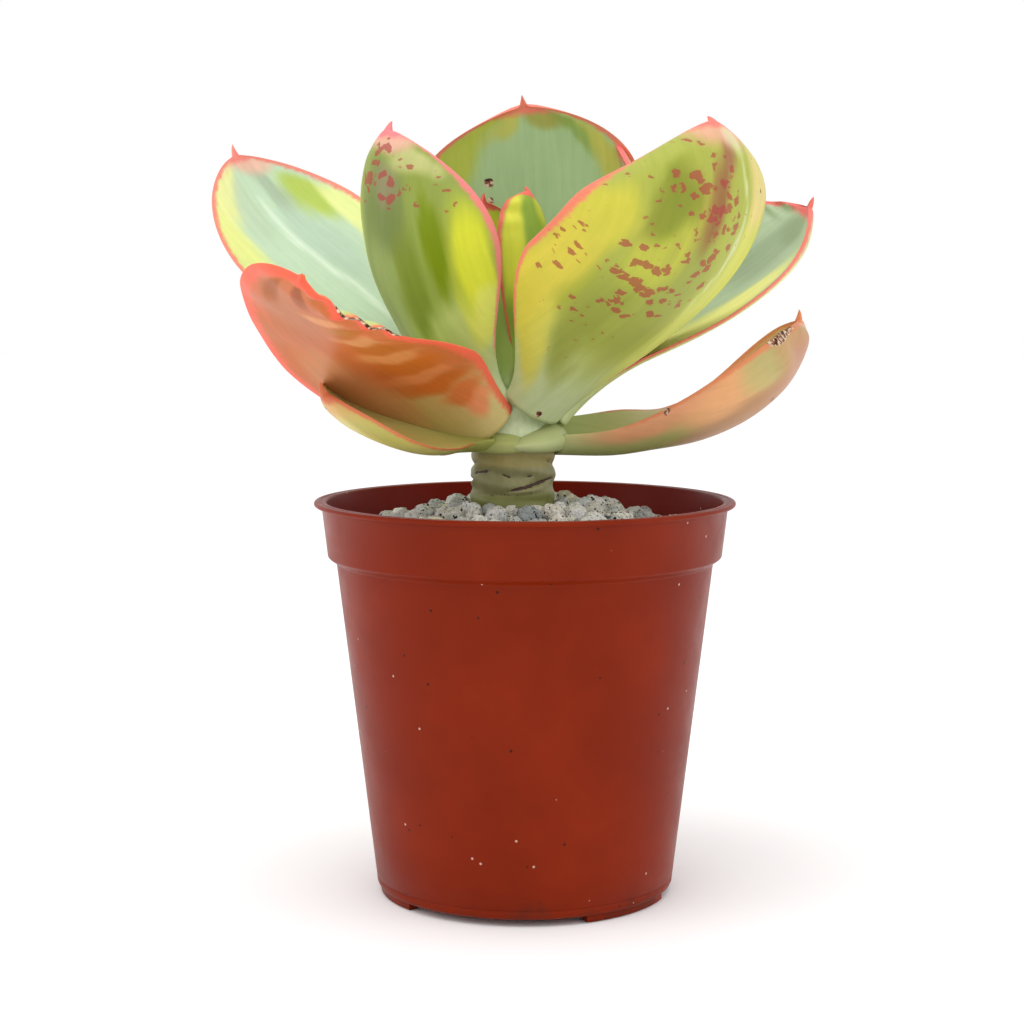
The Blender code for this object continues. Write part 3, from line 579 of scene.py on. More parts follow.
def pot_plastic():
    """Injection-moulded polypropylene in terracotta red: an even, slightly waxy sheen, with splashes of dried
    lime, specks of soil and a film of dirt low on the wall. The mark tells the inside from the outside."""
    made, add, shader = new_material("moulded_polypropylene")
    place = in_millimetres(add)
    height = add("SeparateXYZ", {"Vector": place}, out="Z")
    inner = add("SeparateColor", {"Color": add("Attribute", attribute_name="marks")})
    clouds = add("TexNoise", {"Vector": place, "Scale": 0.035, "Detail": 4.0, "Roughness": 0.55})
    wall = add("ValToRGB", {0: clouds}, ((0.35, "#751D01"), (0.52, "#7B2002"), (0.68, "#822303")))
    walled = add("Mix", {0: inner, MIX_A: wall, MIX_B: colour("#7C1A0A")}, **BLEND)
    # A film of dirt in patches about 11 mm wide, heavier below 9 mm
    smear = add("TexNoise", {"Vector": place, "Scale": 0.09, "Detail": 7.0, "Roughness": 0.72})
    low = add("MapRange", {"Value": height, "From Min": 1.0, "From Max": 9.0, "To Min": 0.26, "To Max": 0.0})
    film = add("Math", {0: smear, 1: low}, operation="ADD")
    dirt = add("MapRange", {"Value": film, "From Min": 0.70, "From Max": 0.95, "To Max": 0.75})
    dirtied = add("Mix", {0: dirt, MIX_A: walled, MIX_B: colour("#4A2214")}, **BLEND)
    # Specks of soil up to 0.8 mm across, and spots of lime a little smaller, one to every 7 mm at most
    soil = add("TexVoronoi", {"Vector": place, "Scale": 0.15})
    soil_near = add("MapRange", {"Value": soil, "From Min": 0.062, "From Max": 0.038})
    soiled = add("Mix", {0: soil_near, MIX_A: dirtied, MIX_B: colour("#2E130B")}, **BLEND)
    shifted = add("Mapping", {"Vector": place, "Location": (31.0, 17.0, 5.0)})
    lime = add("TexVoronoi", {"Vector": shifted, "Scale": 0.14})
    lime_near = add("MapRange", {"Value": lime, "From Min": 0.050, "From Max": 0.032, "To Max": 0.75})
    limed = add("Mix", {0: lime_near, MIX_A: soiled, MIX_B: colour("#D9B9A8")}, **BLEND)
    rough = add("MapRange", {"Value": smear, "From Min": 0.3, "From Max": 0.75, "To Min": 0.30, "To Max": 0.46})
    # The mould's fine spark-eroded grain, drawn 0.6 mm coarse so that it shows
    moulded = add("TexNoise", {"Vector": place, "Scale": 1.6, "Detail": 2.0})
    bump = add("Bump", {"Height": moulded, "Strength": 0.06, "Distance": 0.1 * MM})
    feed(shader, {
        "Base Color": limed, "Normal": bump, "Roughness": rough, "IOR": 1.49, "Specular IOR Level": 0.1,
    })
    return made


def peat():
    """Peat-based potting mix: dark, crumbly and fibrous, with paler bits of bark. Crumbs are about 2 mm across."""
    made, add, shader = new_material("peat_potting_mix")
    place = in_millimetres(add)
    crumbs = add("TexNoise", {"Vector": place, "Scale": 0.5, "Detail": 8.0, "Roughness": 0.75})
    shade = add("ValToRGB", {0: crumbs}, ((0.35, "#17100B"), (0.52, "#3A281C"), (0.68, "#6E5238")))
    bump = add("Bump", {"Height": crumbs, "Strength": 1.0, "Distance": 1.0 * MM})
    feed(shader, {"Base Color": shade, "Normal": bump, "Roughness": 0.95})
    return made


def mesh_object(name, points, faces, material=None):
    mesh = bpy.data.meshes.new(name)
    mesh.from_pydata([tuple(p) for p in points], [], [tuple(int(i) for i in f) for f in faces])
    if material:
        mesh.shade_smooth()
        mesh.materials.append(material)
    obj = bpy.data.objects.new(name, mesh)
    bpy.context.scene.collection.objects.link(obj)
    return obj


def set_colours(obj, name, values):
    """A colour for each point, as a named attribute. Values are linear."""
    layer = obj.data.attributes.new(name, "FLOAT_COLOR", "POINT")
    flat = np.concatenate([values, np.ones((len(values), 1))], axis=1)
    layer.data.foreach_set("color", flat.astype(np.float32).ravel())


def set_vectors(obj, name, values):
    layer = obj.data.attributes.new(name, "FLOAT_VECTOR", "POINT")
    layer.data.foreach_set("vector", np.asarray(values, np.float32).ravel())


def show_as(obj, node):
    """The piece rides on the plant and pot's one body and stands for this node of the frame."""
    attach(obj, "root")
    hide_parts(node)


def field(points, size):
    """Smooth noise from -1 to 1 at each point, with features of that size."""
    return np.array([noise.noise(Vector(p) / size) for p in points])


def small_share(leaf):
    """Small leaves are thinner and have smaller points."""
    return min(1.0, leaf.width / FULL_WIDTH)


def crown_radius(height):
    share = min(max((height - STEM_TOP) / (CROWN_TOP - STEM_TOP), 0.0), 1.0)
    return CROWN_RADIUS + (STEM_RADIUS - CROWN_RADIUS) * math.cos(share * math.pi / 2)


def blade_width(leaf, s):
    """Half width in metres at a share s of the length: rounded shoulders that run out into a small point."""
    point = MUCRO_LENGTH / leaf.length * small_share(leaf)
    low = leaf.neck + (1 - leaf.neck) * np.sin(np.pi / 2 * np.clip(s / leaf.widest, 0, 1)) ** NECK_POWER
    beyond = np.clip((s - leaf.widest) / (1 - point - leaf.widest), 0, 1)
    high = np.clip(1 - beyond**leaf.tip, 0, 1) ** SHOULDER_POWER
    blade = leaf.width / 2 * np.where(s < leaf.widest, low, high)
    from_end = (1 - s) / point
    spike = MUCRO_WIDTH / 2 * small_share(leaf) * from_end**MUCRO_POWER * np.exp(-((from_end / MUCRO_FALL) ** 2))
    return MM * (blade**JOIN_POWER + spike**JOIN_POWER) ** (1 / JOIN_POWER)


def heading(slope, turn):
    return np.stack([np.cos(slope) * np.cos(turn), np.cos(slope) * np.sin(turn), np.sin(slope)], axis=1)


def midrib(leaf, s):
    """Points along the middle of the upper face, the way it runs there, and the level way to its left."""
    fine = np.linspace(0.0, 1.0, MIDRIB_STEPS + 1)
    slope = np.radians(leaf.rise + leaf.bend * fine + leaf.curl * fine**CURL_POWER)
    turn = np.radians(leaf.turn + leaf.sweep * fine**2)
    ahead = heading(slope, turn)
    walked = np.concatenate([np.zeros((1, 3)), np.cumsum((ahead[1:] + ahead[:-1]) / 2, axis=0)])
    walked *= (leaf.length + POINT_BEYOND) * MM / MIDRIB_STEPS
    flesh = LEAF_THICKNESS * small_share(leaf)
    start_height = RIM + leaf.height * MM
    start_radius = crown_radius(start_height - flesh) + max(0.0, -math.sin(slope[0])) * flesh
    walked += (STEM_X + start_radius * math.cos(turn[0]), start_radius * math.sin(turn[0]), start_height)
    points = np.stack([np.interp(s, fine, walked[:, k]) for k in range(3)], axis=1)
    slope, turn = np.interp(s, fine, slope), np.interp(s, fine, turn)
    return points, heading(slope, turn), np.stack([-np.sin(turn), np.cos(turn), np.zeros_like(turn)], axis=1)


def blade_points(leaf, s, v):
    """Points of the upper face: s runs from base to tip, v from the right margin (-1) to the left one (1)."""
    points, ahead, left = midrib(leaf, s)
    up = np.cross(ahead, left)
    tilt = np.radians(leaf.roll + leaf.twist * s)[:, None]
    across = left * np.cos(tilt) + up * np.sin(tilt)
    above = up * np.cos(tilt) - left * np.sin(tilt)
    beyond = smoothstep(s / CUP_START)[:, None]
    far_cup = np.where(v > 0, leaf.cup_left, leaf.cup_right)[None, :]
    cup = np.radians(leaf.channel * (1 - beyond) + far_cup * beyond)
    cup = np.where(np.abs(cup) < NEARLY_FLAT, NEARLY_FLAT, cup)
    keel = math.radians(KEEL_ANGLE)
    reach = np.abs(v)[None, :]
    outwards = (np.sin(keel + cup * reach) - math.sin(keel)) / cup
    upwards = (math.cos(keel) - np.cos(keel + cup * reach)) / cup
    side = np.sign(v)[None, :]
    half = blade_width(leaf, s)[:, None] * (1 + side * leaf.lean)
    shift = across[:, None, :] * (half * side * outwards)[:, :, None]
    return points[:, None, :] + shift + above[:, None, :] * (half * upwards)[:, :, None]


def blade_thickness(s, v):
    """Share of the full thickness: thin and rounded at the margins and the tip."""
    along = (1 - TIP_THINNING * s) * np.sqrt(np.clip((1 - s) / BLUNT_LENGTH, 0.0, 1.0))
    across = EDGE_SHARE + (1 - EDGE_SHARE) * (1 - np.abs(v) ** MARGIN_POWER)
    return along[:, None] * (across * np.sqrt(1 - np.abs(v) ** EDGE_POWER))[None, :]


def grid_normals(points):
    normals = np.cross(np.gradient(points, axis=0), np.gradient(points, axis=1))
    normals /= np.linalg.norm(normals, axis=2)[:, :, None] + 1e-15
    normals[-1] = normals[-2]
    return normals


def blade_waves(leaf, s, v):
    """How far the blade is lifted by its ripples, in metres."""
    lift = np.zeros((len(s), len(v)))
    for wave in leaf.waves:
        grown = smoothstep((s - wave.start) / WAVE_BEGUN) * smoothstep((1 - s) / WAVE_ENDED)
        along = np.sin(2 * np.pi * (wave.count * (s - wave.start) / (1 - wave.start) + wave.phase)) * grown
        beside = np.where(v * wave.side > 0, np.exp(-(((np.abs(v) - WAVE_AT) / WAVE_SPREAD) ** 2)), 0.0)
        lift += wave.height * MM * along[:, None] * beside[None, :]
    return lift


def weight(patches, s, v, lower):
    """How strongly each patch acts at each point of a face."""
    for patch in patches:
        away = np.sqrt(((s - patch.s) / patch.ds) ** 2 + ((v - patch.v) / patch.dv) ** 2)
        seen = patch.face == "b" or (patch.face == "l") == lower
        yield patch.amount * (1 - smoothstep((away - PATCH_FULL) / PATCH_FADE)) * seen


def paint(leaf, s, v, lower, wander):
    """Skin colour at each point of a face, with a painted highlight where a patch holds one, and its marks: how
    flushed, flecked and corky it is.

    wander moves the edges of the patches about. The flush is 0.5 to 1.6 times the rim's width, widest at the tip.
    """
    s_moved, v_moved = s + 0.030 * wander[0], v + 0.09 * wander[1] + 0.07 * wander[2]
    base, ground = srgb(leaf.base), srgb(leaf.lower if lower else leaf.upper)
    skin = base + (ground - base) * smoothstep((s_moved - 0.05) / 0.3)[:, None]
    for patch, share in zip(leaf.patches, weight(leaf.patches, s_moved, v_moved, lower)):
        skin = skin + (srgb(patch.colour) - skin) * np.clip(share, 0, 1)[:, None]
    from_side = (1 - np.abs(v)) * (blade_width(leaf, s) / MM)
    from_tip = np.clip(1 - MUCRO_LENGTH / leaf.length - s, 0, 1) * leaf.length
    from_edge = np.minimum(from_side, 1.1 * from_tip)
    width = leaf.rim * (0.5 + 1.1 * smoothstep((s - 2.5 * leaf.rim_from) / 0.8))
    flush = smoothstep((s - leaf.rim_from) / 0.18) * np.clip(1.15 - 0.65 * from_edge / width, 0, 1)
    fleck, cork = (sum(weight(areas, s, v, lower), np.zeros(s.shape)) for areas in (leaf.flecks, leaf.cork))
    return to_linear(skin), np.stack([flush, np.clip(fleck, 0, 2), np.clip(cork, 0, 1)], axis=1)


def make_leaf(leaf, index, material):
    s = 1 - (1 - np.linspace(0.0, 1.0, LEAF_ROWS + 1)) ** ROW_BIAS
    v = np.sin(np.linspace(-np.pi / 2, np.pi / 2, LEAF_COLUMNS + 1))
    v = np.sign(v) * np.sqrt(v**2 + KEEL_SOFTNESS**2 * (1 - v**2))
    middle = LEAF_COLUMNS // 2
    v[middle] = 0.0
    upper = blade_points(leaf, s, v)
    upper[:, middle] = (upper[:, middle - 1] + upper[:, middle + 1]) / 2
    normals = grid_normals(upper)
    dents = field(upper.reshape(-1, 3) + index, DENT_SIZE).reshape(upper.shape[:2])
    lift = blade_waves(leaf, s, v) + DENT_DEPTH * dents * smoothstep((1 - s) / DENT_ENDED)[:, None]
    upper = upper + normals * lift[:, :, None]
    thickness = LEAF_THICKNESS * small_share(leaf) * blade_thickness(s, v)
    lower = upper - normals * thickness[:, :, None]

    # The faces share their margins, and the last row is one point
    rows, columns = LEAF_ROWS, LEAF_COLUMNS + 1
    tip = rows * columns
    ids = np.full((rows + 1, columns), tip)
    ids[:-1] = np.arange(tip).reshape(rows, columns)
    under = ids.copy()
    under[:-1, 1:-1] = tip + 1 + np.arange(rows * (columns - 2)).reshape(rows, columns - 2)
    points = np.concatenate([upper[:-1].reshape(-1, 3), upper[-1:, 0], lower[:-1, 1:-1].reshape(-1, 3)])
    at_s = np.concatenate([np.repeat(s[:-1], columns), s[-1:], np.repeat(s[:-1], columns - 2)])
    at_v = np.concatenate([np.tile(v, rows), v[:1], np.tile(v[1:-1], rows)])
    is_lower = np.arange(len(points)) > tip
    faces = []
    for i in range(rows):
        for j in range(columns - 1):
            faces.append((ids[i, j], ids[i + 1, j], ids[i + 1, j + 1], ids[i, j + 1]))
            faces.append((under[i, j + 1], under[i + 1, j + 1], under[i + 1, j], under[i, j]))
    faces += [(ids[0, j], ids[0, j + 1], under[0, j + 1], under[0, j]) for j in range(columns - 1)]
    faces = [list(dict.fromkeys(face)) for face in faces]
    obj = mesh_object(leaf.name + "_blade", points, [face for face in faces if len(face) > 2], material)

    half = blade_width(leaf, at_s) / MM
    blade = np.stack([at_v * half, at_s * leaf.length, FACE_APART * is_lower + LEAF_APART * index], axis=1)
    set_vectors(obj, "blade", blade)
    wander = [field(blade * (1, 0.35, 1) + 500 * k, WANDER_SIZE) for k in range(2)]
    wander.append(field(blade * (1, 0.14, 1), STREAK_SIZE))
    skin, marks = np.zeros((2, len(points), 3))
    for low in (False, True):
        on = is_lower == low
        skin[on], marks[on] = paint(leaf, at_s[on], at_v[on], low, [w[on] for w in wander])
    set_colours(obj, "skin", skin)
    set_colours(obj, "flush", np.tile(to_linear(srgb(leaf.rim_colour)), (len(points), 1)))
    set_colours(obj, "marks", marks)
    show_as(obj, leaf.name)


# Leaf bases that clasp the front of the stem: leaf, free end and joined end in degrees, height above the rim of the
# underside, heights of the top edge at both ends in mm, how far it stands out in mm, colours at both ends
CLASPS = (
    ("leaf_left_low", -66, -172, 12.2, 16.6, 18.0, 1.6, "#B0B878", "#A5A862"),
    ("leaf_right_low", -92, 40, 12.2, 16.0, 21.5, 3.4, "#C2CA94", "#AFB478"),
)
CLASP_ROWS, CLASP_SIDES = 72, 32
CLASP_TAPER = 0.3
CLASP_END = 0.12
CLASP_BURIED = 1.2
CLASP_LEAN = 0.16


def make_clasp(clasp, index, material):
    """A band round part of the stem, rounded outside and sunk into the stem, that tapers at both ends."""
    name, first, last, foot, top_first, top_last, bulge, shade_first, shade_last = clasp
    rows, sides = CLASP_ROWS, CLASP_SIDES
    points, blade, skin = [], [], []
    for i in range(rows + 1):
        share = i / rows
        turn = math.radians(first + (last - first) * share)
        begun = min(1.0, share / CLASP_TAPER)
        ended = min(1.0, max(0.0, (share - 1 + CLASP_TAPER) / CLASP_TAPER))
        grown = math.sqrt(1 - (1 - begun) ** 2) * math.sqrt(1 - ended**2)
        top = top_first + (top_last - top_first) * share
        middle, half = (foot + top) / 2, (top - foot) / 2 * (CLASP_END + (1 - CLASP_END) * grown)
        for k in range(sides):
            outwards, upwards = math.cos(2 * math.pi * k / sides), math.sin(2 * math.pi * k / sides)
            out = bulge * grown * outwards**0.7 if outwards > 0 else CLASP_BURIED * outwards
            radius = STEM_RADIUS * (1 - CLASP_LEAN * max(0.0, upwards)) + (out - 0.1) * MM
            height = RIM + (middle + half * upwards) * MM
            points.append((STEM_X + radius * math.cos(turn), radius * math.sin(turn), height))
            blade.append((half * upwards, 12 * share, 300.0 + 40 * index))
            skin.append(srgb(shade_first) * (1 - share) + srgb(shade_last) * share)
    faces = [tuple(reversed(range(sides))), tuple(range(rows * sides, (rows + 1) * sides))]
    for i in range(rows):
        for k in range(sides):
            nxt = (k + 1) % sides
            faces.append((i * sides + k, i * sides + nxt, (i + 1) * sides + nxt, (i + 1) * sides + k))
    obj = mesh_object(name + "_clasp", points, faces, material)
    fix = bmesh.new()
    fix.from_mesh(obj.data)
    bmesh.ops.recalc_face_normals(fix, faces=fix.faces)
    fix.to_mesh(obj.data)
    fix.free()
    set_vectors(obj, "blade", blade)
    set_colours(obj, "skin", to_linear(np.array(skin)))
    set_colours(obj, "flush", np.tile(to_linear(srgb("#E8A08A")), (len(points), 1)))
    set_colours(obj, "marks", np.zeros((len(points), 3)))
    show_as(obj, name)


def step_radius(top_radius, share):
    """Radius at a share of the way down the step under the collar."""
    return top_radius - STEP_DEPTH * (1 - math.cos(math.pi * share)) / 2


def step_curve(top_radius):
    shares = [i / (STEP_POINTS - 1) for i in range(STEP_POINTS)]
    return [(step_radius(top_radius, share), RIM - COLLAR_DEPTH - STEP_HEIGHT * share) for share in shares]


def body_radius(height):
    """Outer radius of the tapered body."""
    share = (height - FOOT_HEIGHT) / (BODY_TOP - FOOT_HEIGHT)
    return BASE_RADIUS + (COLLAR_LOW_RADIUS - STEP_DEPTH - BASE_RADIUS) * share


def outer_radius(height):
    """Outer radius of the pot's wall at any height."""
    if height < BODY_TOP:
        return body_radius(height)
    if height < RIM - COLLAR_DEPTH:
        return step_radius(COLLAR_LOW_RADIUS, (RIM - COLLAR_DEPTH - height) / STEP_HEIGHT)
    return COLLAR_RADIUS - COLLAR_TAPER * (RIM - height) / COLLAR_DEPTH


def arc(radius_at, height_at, radius, start, end, count):
    """Points of an arc from start to end, in degrees, where 0 is outwards and 90 is up."""
    angles = [math.radians(start + (end - start) * i / (count - 1)) for i in range(count)]
    return [(radius_at + radius * math.cos(a), height_at + radius * math.sin(a)) for a in angles]


def pot_profile():
    """Where the wall runs, as (radius, height): up the inside, over the rolled lip and down the outside."""
    lip_half = LIP_THICKNESS / 2
    groove = (COLLAR_RADIUS + POT_RADIUS) / 2 - lip_half
    points = [(0.0, FLOOR_TOP), (body_radius(FLOOR_TOP) - WALL, FLOOR_TOP)]
    points += reversed(step_curve(COLLAR_LOW_RADIUS - WALL))
    points.append((COLLAR_RADIUS - WALL, RIM - lip_half))
    points += arc(COLLAR_RADIUS - WALL + lip_half, RIM - lip_half, lip_half, 150, 90, 5)
    points += arc(groove, RIM + LIP_GROOVE / 3, LIP_GROOVE, 200, 340, 7)
    points += arc(POT_RADIUS - lip_half, RIM - lip_half, lip_half, 90, -90, 13)
    points.append((COLLAR_RADIUS + LIP_FILLET, RIM - LIP_THICKNESS))
    points.append((COLLAR_RADIUS, RIM - LIP_THICKNESS - LIP_FILLET))
    points += step_curve(COLLAR_LOW_RADIUS)
    for i in range(1, BODY_ROWS):
        height = BODY_TOP * (1 - i / BODY_ROWS)
        points.append((body_radius(height), height))
    # A line scored round the foot of the wall
    for share, cut in ((0.5, 0.0), (0.2, 0.7), (0.0, 1.0), (-0.2, 0.7), (-0.5, 0.0)):
        height = BASE_LINE_HEIGHT + BASE_LINE_WIDTH * share
        points.append((body_radius(height) - cut * BASE_LINE_DEPTH, height))
    corner = body_radius(FOOT_HEIGHT + BASE_ROUNDING) - BASE_ROUNDING
    points += arc(corner, FOOT_HEIGHT + BASE_ROUNDING, BASE_ROUNDING, 0, -90, 8)
    points.append((0.0, FOOT_HEIGHT))
    return points


def turn_profile(name, profile, steps, material, centre_x=0.0):
    """A closed solid from a profile of (radius, height) points turned about Z. It starts and ends on the axis."""
    points, faces = [(centre_x, 0.0, profile[0][1])], []
    for radius, height in profile[1:-1]:
        for k in range(steps):
            angle = 2 * math.pi * k / steps
            points.append((centre_x + radius * math.cos(angle), radius * math.sin(angle), height))
    end = len(points)
    points.append((centre_x, 0.0, profile[-1][1]))
    for start in range(1, end, steps):
        for k in range(steps):
            this, nxt = start + k, start + (k + 1) % steps
            if start == 1:
                faces.append((0, this, nxt))
            else:
                faces.append((this - steps, this, nxt, nxt - steps))
    faces += [(end - steps + k, end, end - steps + (k + 1) % steps) for k in range(steps)]
    return mesh_object(name, points, faces, material)


def prism(name, outline, low, high):
    """An upright solid over an outline."""
    count = len(outline)
    points = [(x, y, low) for x, y in outline] + [(x, y, high) for x, y in outline]
    faces = [tuple(reversed(range(count))), tuple(range(count, 2 * count))]
    faces += [(i, (i + 1) % count, (i + 1) % count + count, i + count) for i in range(count)]
    return mesh_object(name, points, faces)


def round_outline(radius, x=0.0, y=0.0):
    angles = [2 * math.pi * k / ROUND_SIDES for k in range(ROUND_SIDES)]
    return [(x + radius * math.cos(a), y + radius * math.sin(a)) for a in angles]


def foot_outline(first):
    """A curved foot just inside the edge of the base, from a direction in degrees."""
    outer = BASE_RADIUS - FOOT_INSET
    inner = outer - FOOT_WIDTH
    angles = [math.radians(first + FOOT_SPAN * i / (FOOT_POINTS - 1)) for i in range(FOOT_POINTS)]
    points = [(outer * math.cos(a), outer * math.sin(a)) for a in angles]
    return points + [(inner * math.cos(a), inner * math.sin(a)) for a in reversed(angles)]


def make_pot(material):
    pot = turn_profile("nursery_pot", pot_profile(), POT_STEPS, material)
    feet = [foot_outline(FIRST_FOOT + 360.0 * i / FOOT_COUNT) for i in range(FOOT_COUNT)]
    feet.append(round_outline(PAD_RADIUS))
    tools = [("UNION", prism("foot", outline, 0.0, FOOT_HEIGHT + FLOOR / 2)) for outline in feet]
    for i in range(DRAIN_COUNT):
        turn = 2 * math.pi * (i + 0.5) / DRAIN_COUNT
        outline = round_outline(DRAIN_RADIUS, DRAIN_CIRCLE * math.cos(turn), DRAIN_CIRCLE * math.sin(turn))
        tools.append(("DIFFERENCE", prism("drain", outline, FOOT_HEIGHT - FLOOR, FLOOR_TOP + FLOOR)))
    for operation, tool in tools:
        step = pot.modifiers.new(operation.title(), "BOOLEAN")
        step.operation, step.object, step.solver = operation, tool, "MANIFOLD"
    graph = bpy.context.evaluated_depsgraph_get()
    mesh = bpy.data.meshes.new_from_object(pot.evaluated_get(graph))
    pot.modifiers.clear()
    pot.data = mesh
    for _, tool in tools:
        bpy.data.objects.remove(tool)
    mesh.set_sharp_from_angle(angle=math.radians(SHARP_ANGLE))
    marks = np.zeros((len(mesh.vertices), 3))
    for k, vertex in enumerate(mesh.vertices):
        radius = math.hypot(vertex.co.x, vertex.co.y)
        between = FLOOR_TOP - 0.1 * MM < vertex.co.z < RIM - 0.4 * MM
        marks[k, 0] = between and radius < outer_radius(vertex.co.z) - WALL / 2
    set_colours(pot, "marks", marks)
    show_as(pot, "pot")


# Sizes of the grains in mm, from and to, how many are tried, and how deep they sit, as a share of their size
GRAINS = ((3.0, 3.7, 260, 0.2), (2.2, 3.0, 1400, 0.3), (1.5, 2.2, 3600, 0.6), (0.9, 1.4, 3000, 1.0))
GRAIN_FLATS = 9
GRAIN_TONES = ("#E4E4E2", "#EEEDE9", "#D2D3D3", "#F4F2EC", "#DDDDDB", "#C6C9CA", "#E6E3DA")
DARK_GRAIN = (0.0190, -0.0120)
BED_RINGS, BED_STEPS = 60, 150


def dressing_height(radius):
    share = min(max((radius - (DRESSING_RADIUS - MOUND_RADIUS)) / MOUND_RADIUS, 0.0), 1.0)
    return DRESSING_EDGE + (DRESSING_CROWN - DRESSING_EDGE) * (1 + math.cos(math.pi * share)) / 2


def grain_mesh(rng, size):
    """A crushed lump: a ball with a few flats knocked off it and a rough skin."""
    ball = bmesh.new()
    bmesh.ops.create_icosphere(ball, subdivisions=3, radius=1.0)
    points = np.array([v.co for v in ball.verts])
    faces = [[v.index for v in f.verts] for f in ball.faces]
    ball.free()
    for _ in range(GRAIN_FLATS):
        facing = rng.normal(size=3)
        facing /= np.linalg.norm(facing)
        flat = rng.uniform(0.62, 0.92)
        over = np.clip(points @ facing - flat, 0, None)
        points -= 0.85 * over[:, None] * facing[None, :]
    offset = rng.uniform(0, 50, 3)
    rough = [noise.noise(Vector(p * 2.2 + offset)) + 0.5 * noise.noise(Vector(p * 5.5 + offset)) for p in points]
    points *= (1 + 0.13 * np.array(rough))[:, None]
    points *= rng.uniform(0.78, 1.15, 3)[None, :]
    turn = np.array(Matrix.Rotation(rng.uniform(0, 2 * math.pi), 3, Vector(rng.normal(size=3))))
    return points @ turn.T * size, faces


def place_grains(rng):
    """Centres and radii: large grains first, then smaller ones in the gaps."""
    placed = []
    for low, high, tries, depth in GRAINS:
        for _ in range(tries):
            size = rng.uniform(low, high) * MM
            radius = math.sqrt(rng.uniform(0, 1)) * (DRESSING_RADIUS - size)
            turn = rng.uniform(0, 2 * math.pi)
            x, y = radius * math.cos(turn), radius * math.sin(turn)
            if math.hypot(x - STEM_X, y) < STEM_RADIUS + 0.75 * size:
                continue
            z = dressing_height(radius) - depth * size + rng.uniform(-0.3, 0.5) * MM
            if all((x - a) ** 2 + (y - b) ** 2 + (z - c) ** 2 > (0.80 * (size + r)) ** 2 for a, b, c, r in placed):
                placed.append((x, y, z, size))
    return placed


def make_pumice(material):
    """Loose grains in two pieces, over a bed of finer ones."""
    rng = np.random.default_rng(SEED)
    grains = place_grains(rng)
    dark = min(grains, key=lambda g: math.hypot(g[0] - DARK_GRAIN[0], g[1] - DARK_GRAIN[1]))
    half = (len(grains) + 1) // 2
    for part, members in (("near", grains[:half]), ("far", grains[half:])):
        points, faces, tones = [], [], []
        for grain in members:
            shape, sides = grain_mesh(rng, grain[3])
            start = len(shape) * len(points)
            points.append(shape + grain[:3])
            faces += [[start + k for k in side] for side in sides]
            tone = srgb(GRAIN_TONES[rng.integers(len(GRAIN_TONES))]) * rng.uniform(0.88, 1.04)
            if grain is dark:
                tone = srgb("#4A5560")
            elif rng.uniform() < 0.02:
                tone = srgb("#9AA2A6")
            elif rng.uniform() < 0.06:
                tone = srgb("#E9E2C4")
            tones.append(np.tile(to_linear(tone), (len(shape), 1)))
        obj = mesh_object("pumice_grains_" + part, np.concatenate(points), faces, material)
        set_colours(obj, "skin", np.concatenate(tones))
        show_as(obj, "pumice_top_dressing")
    radii = [DRESSING_RADIUS * i / BED_RINGS for i in range(BED_RINGS + 1)]
    profile = [(radius, dressing_height(radius)) for radius in radii]
    profile += [(DRESSING_RADIUS, MIX_TOP + 0.3 * MM), (0.0, MIX_TOP + 0.3 * MM)]
    bed = turn_profile("pumice_bed", profile, BED_STEPS, material)
    for vertex in bed.data.vertices:
        if vertex.co.z > MIX_TOP + 1.0 * MM:
            lump = noise.noise(vertex.co / (2.2 * MM)) * 0.9 + noise.noise(vertex.co / (0.9 * MM)) * 0.5
            vertex.co.z += (lump - 2.0) * MM
    set_colours(bed, "skin", np.tile(to_linear(srgb("#B9B8B4")), (len(bed.data.vertices), 1)))
    show_as(bed, "pumice_top_dressing")


# Leaf scars on the stem: direction, height above the rim in mm, how far round they run, slope in mm, darkness
SCARS = (
    (-60, 4.4, 44, 1.7, 1.0), (-142, 7.4, 20, 0.5, 0.8), (-98, 6.6, 10, -0.6, 0.6), (-66, 6.6, 8, 0.3, 0.6),
    (-168, 5.4, 14, 0.4, 0.8), (-20, 9.6, 20, -0.8, 0.5), (150, 4.0, 55, 1.5, 0.9), (70, 7.0, 50, -1.8, 0.9),
    (20, 2.2, 45, 1.0, 0.7), (-100, 2.0, 60, 0.5, 0.42), (110, 1.5, 50, 1.0, 0.7), (175, 8.8, 45, 1.2, 0.6),
)
# Tones of the rind above and below its middle, whose olive ones hold painted shade from the rosette: colour, height in
# mm where it starts, how soon it is full, how much
STEM_TONES_AND_SHADE = (("#7A7E40", 3.2, -2.6, 1.0), ("#9A8A4A", 8.3, 1.0, 0.7), ("#CFDCB4", 11.5, 4.0, 1.0))
STEM_ROWS, STEM_STEPS = 150, 120
STEM_BURIED = 0.006
SWELL_FADE = 0.008
# Of the creases in mm: half width and depth. Of the ledge under each: how far down, half width and height
CREASE_WIDTH, CREASE_DEPTH = 0.42, 0.55
LEDGE_DROP, LEDGE_WIDTH, LEDGE_HEIGHT = 1.1, 0.8, 0.35


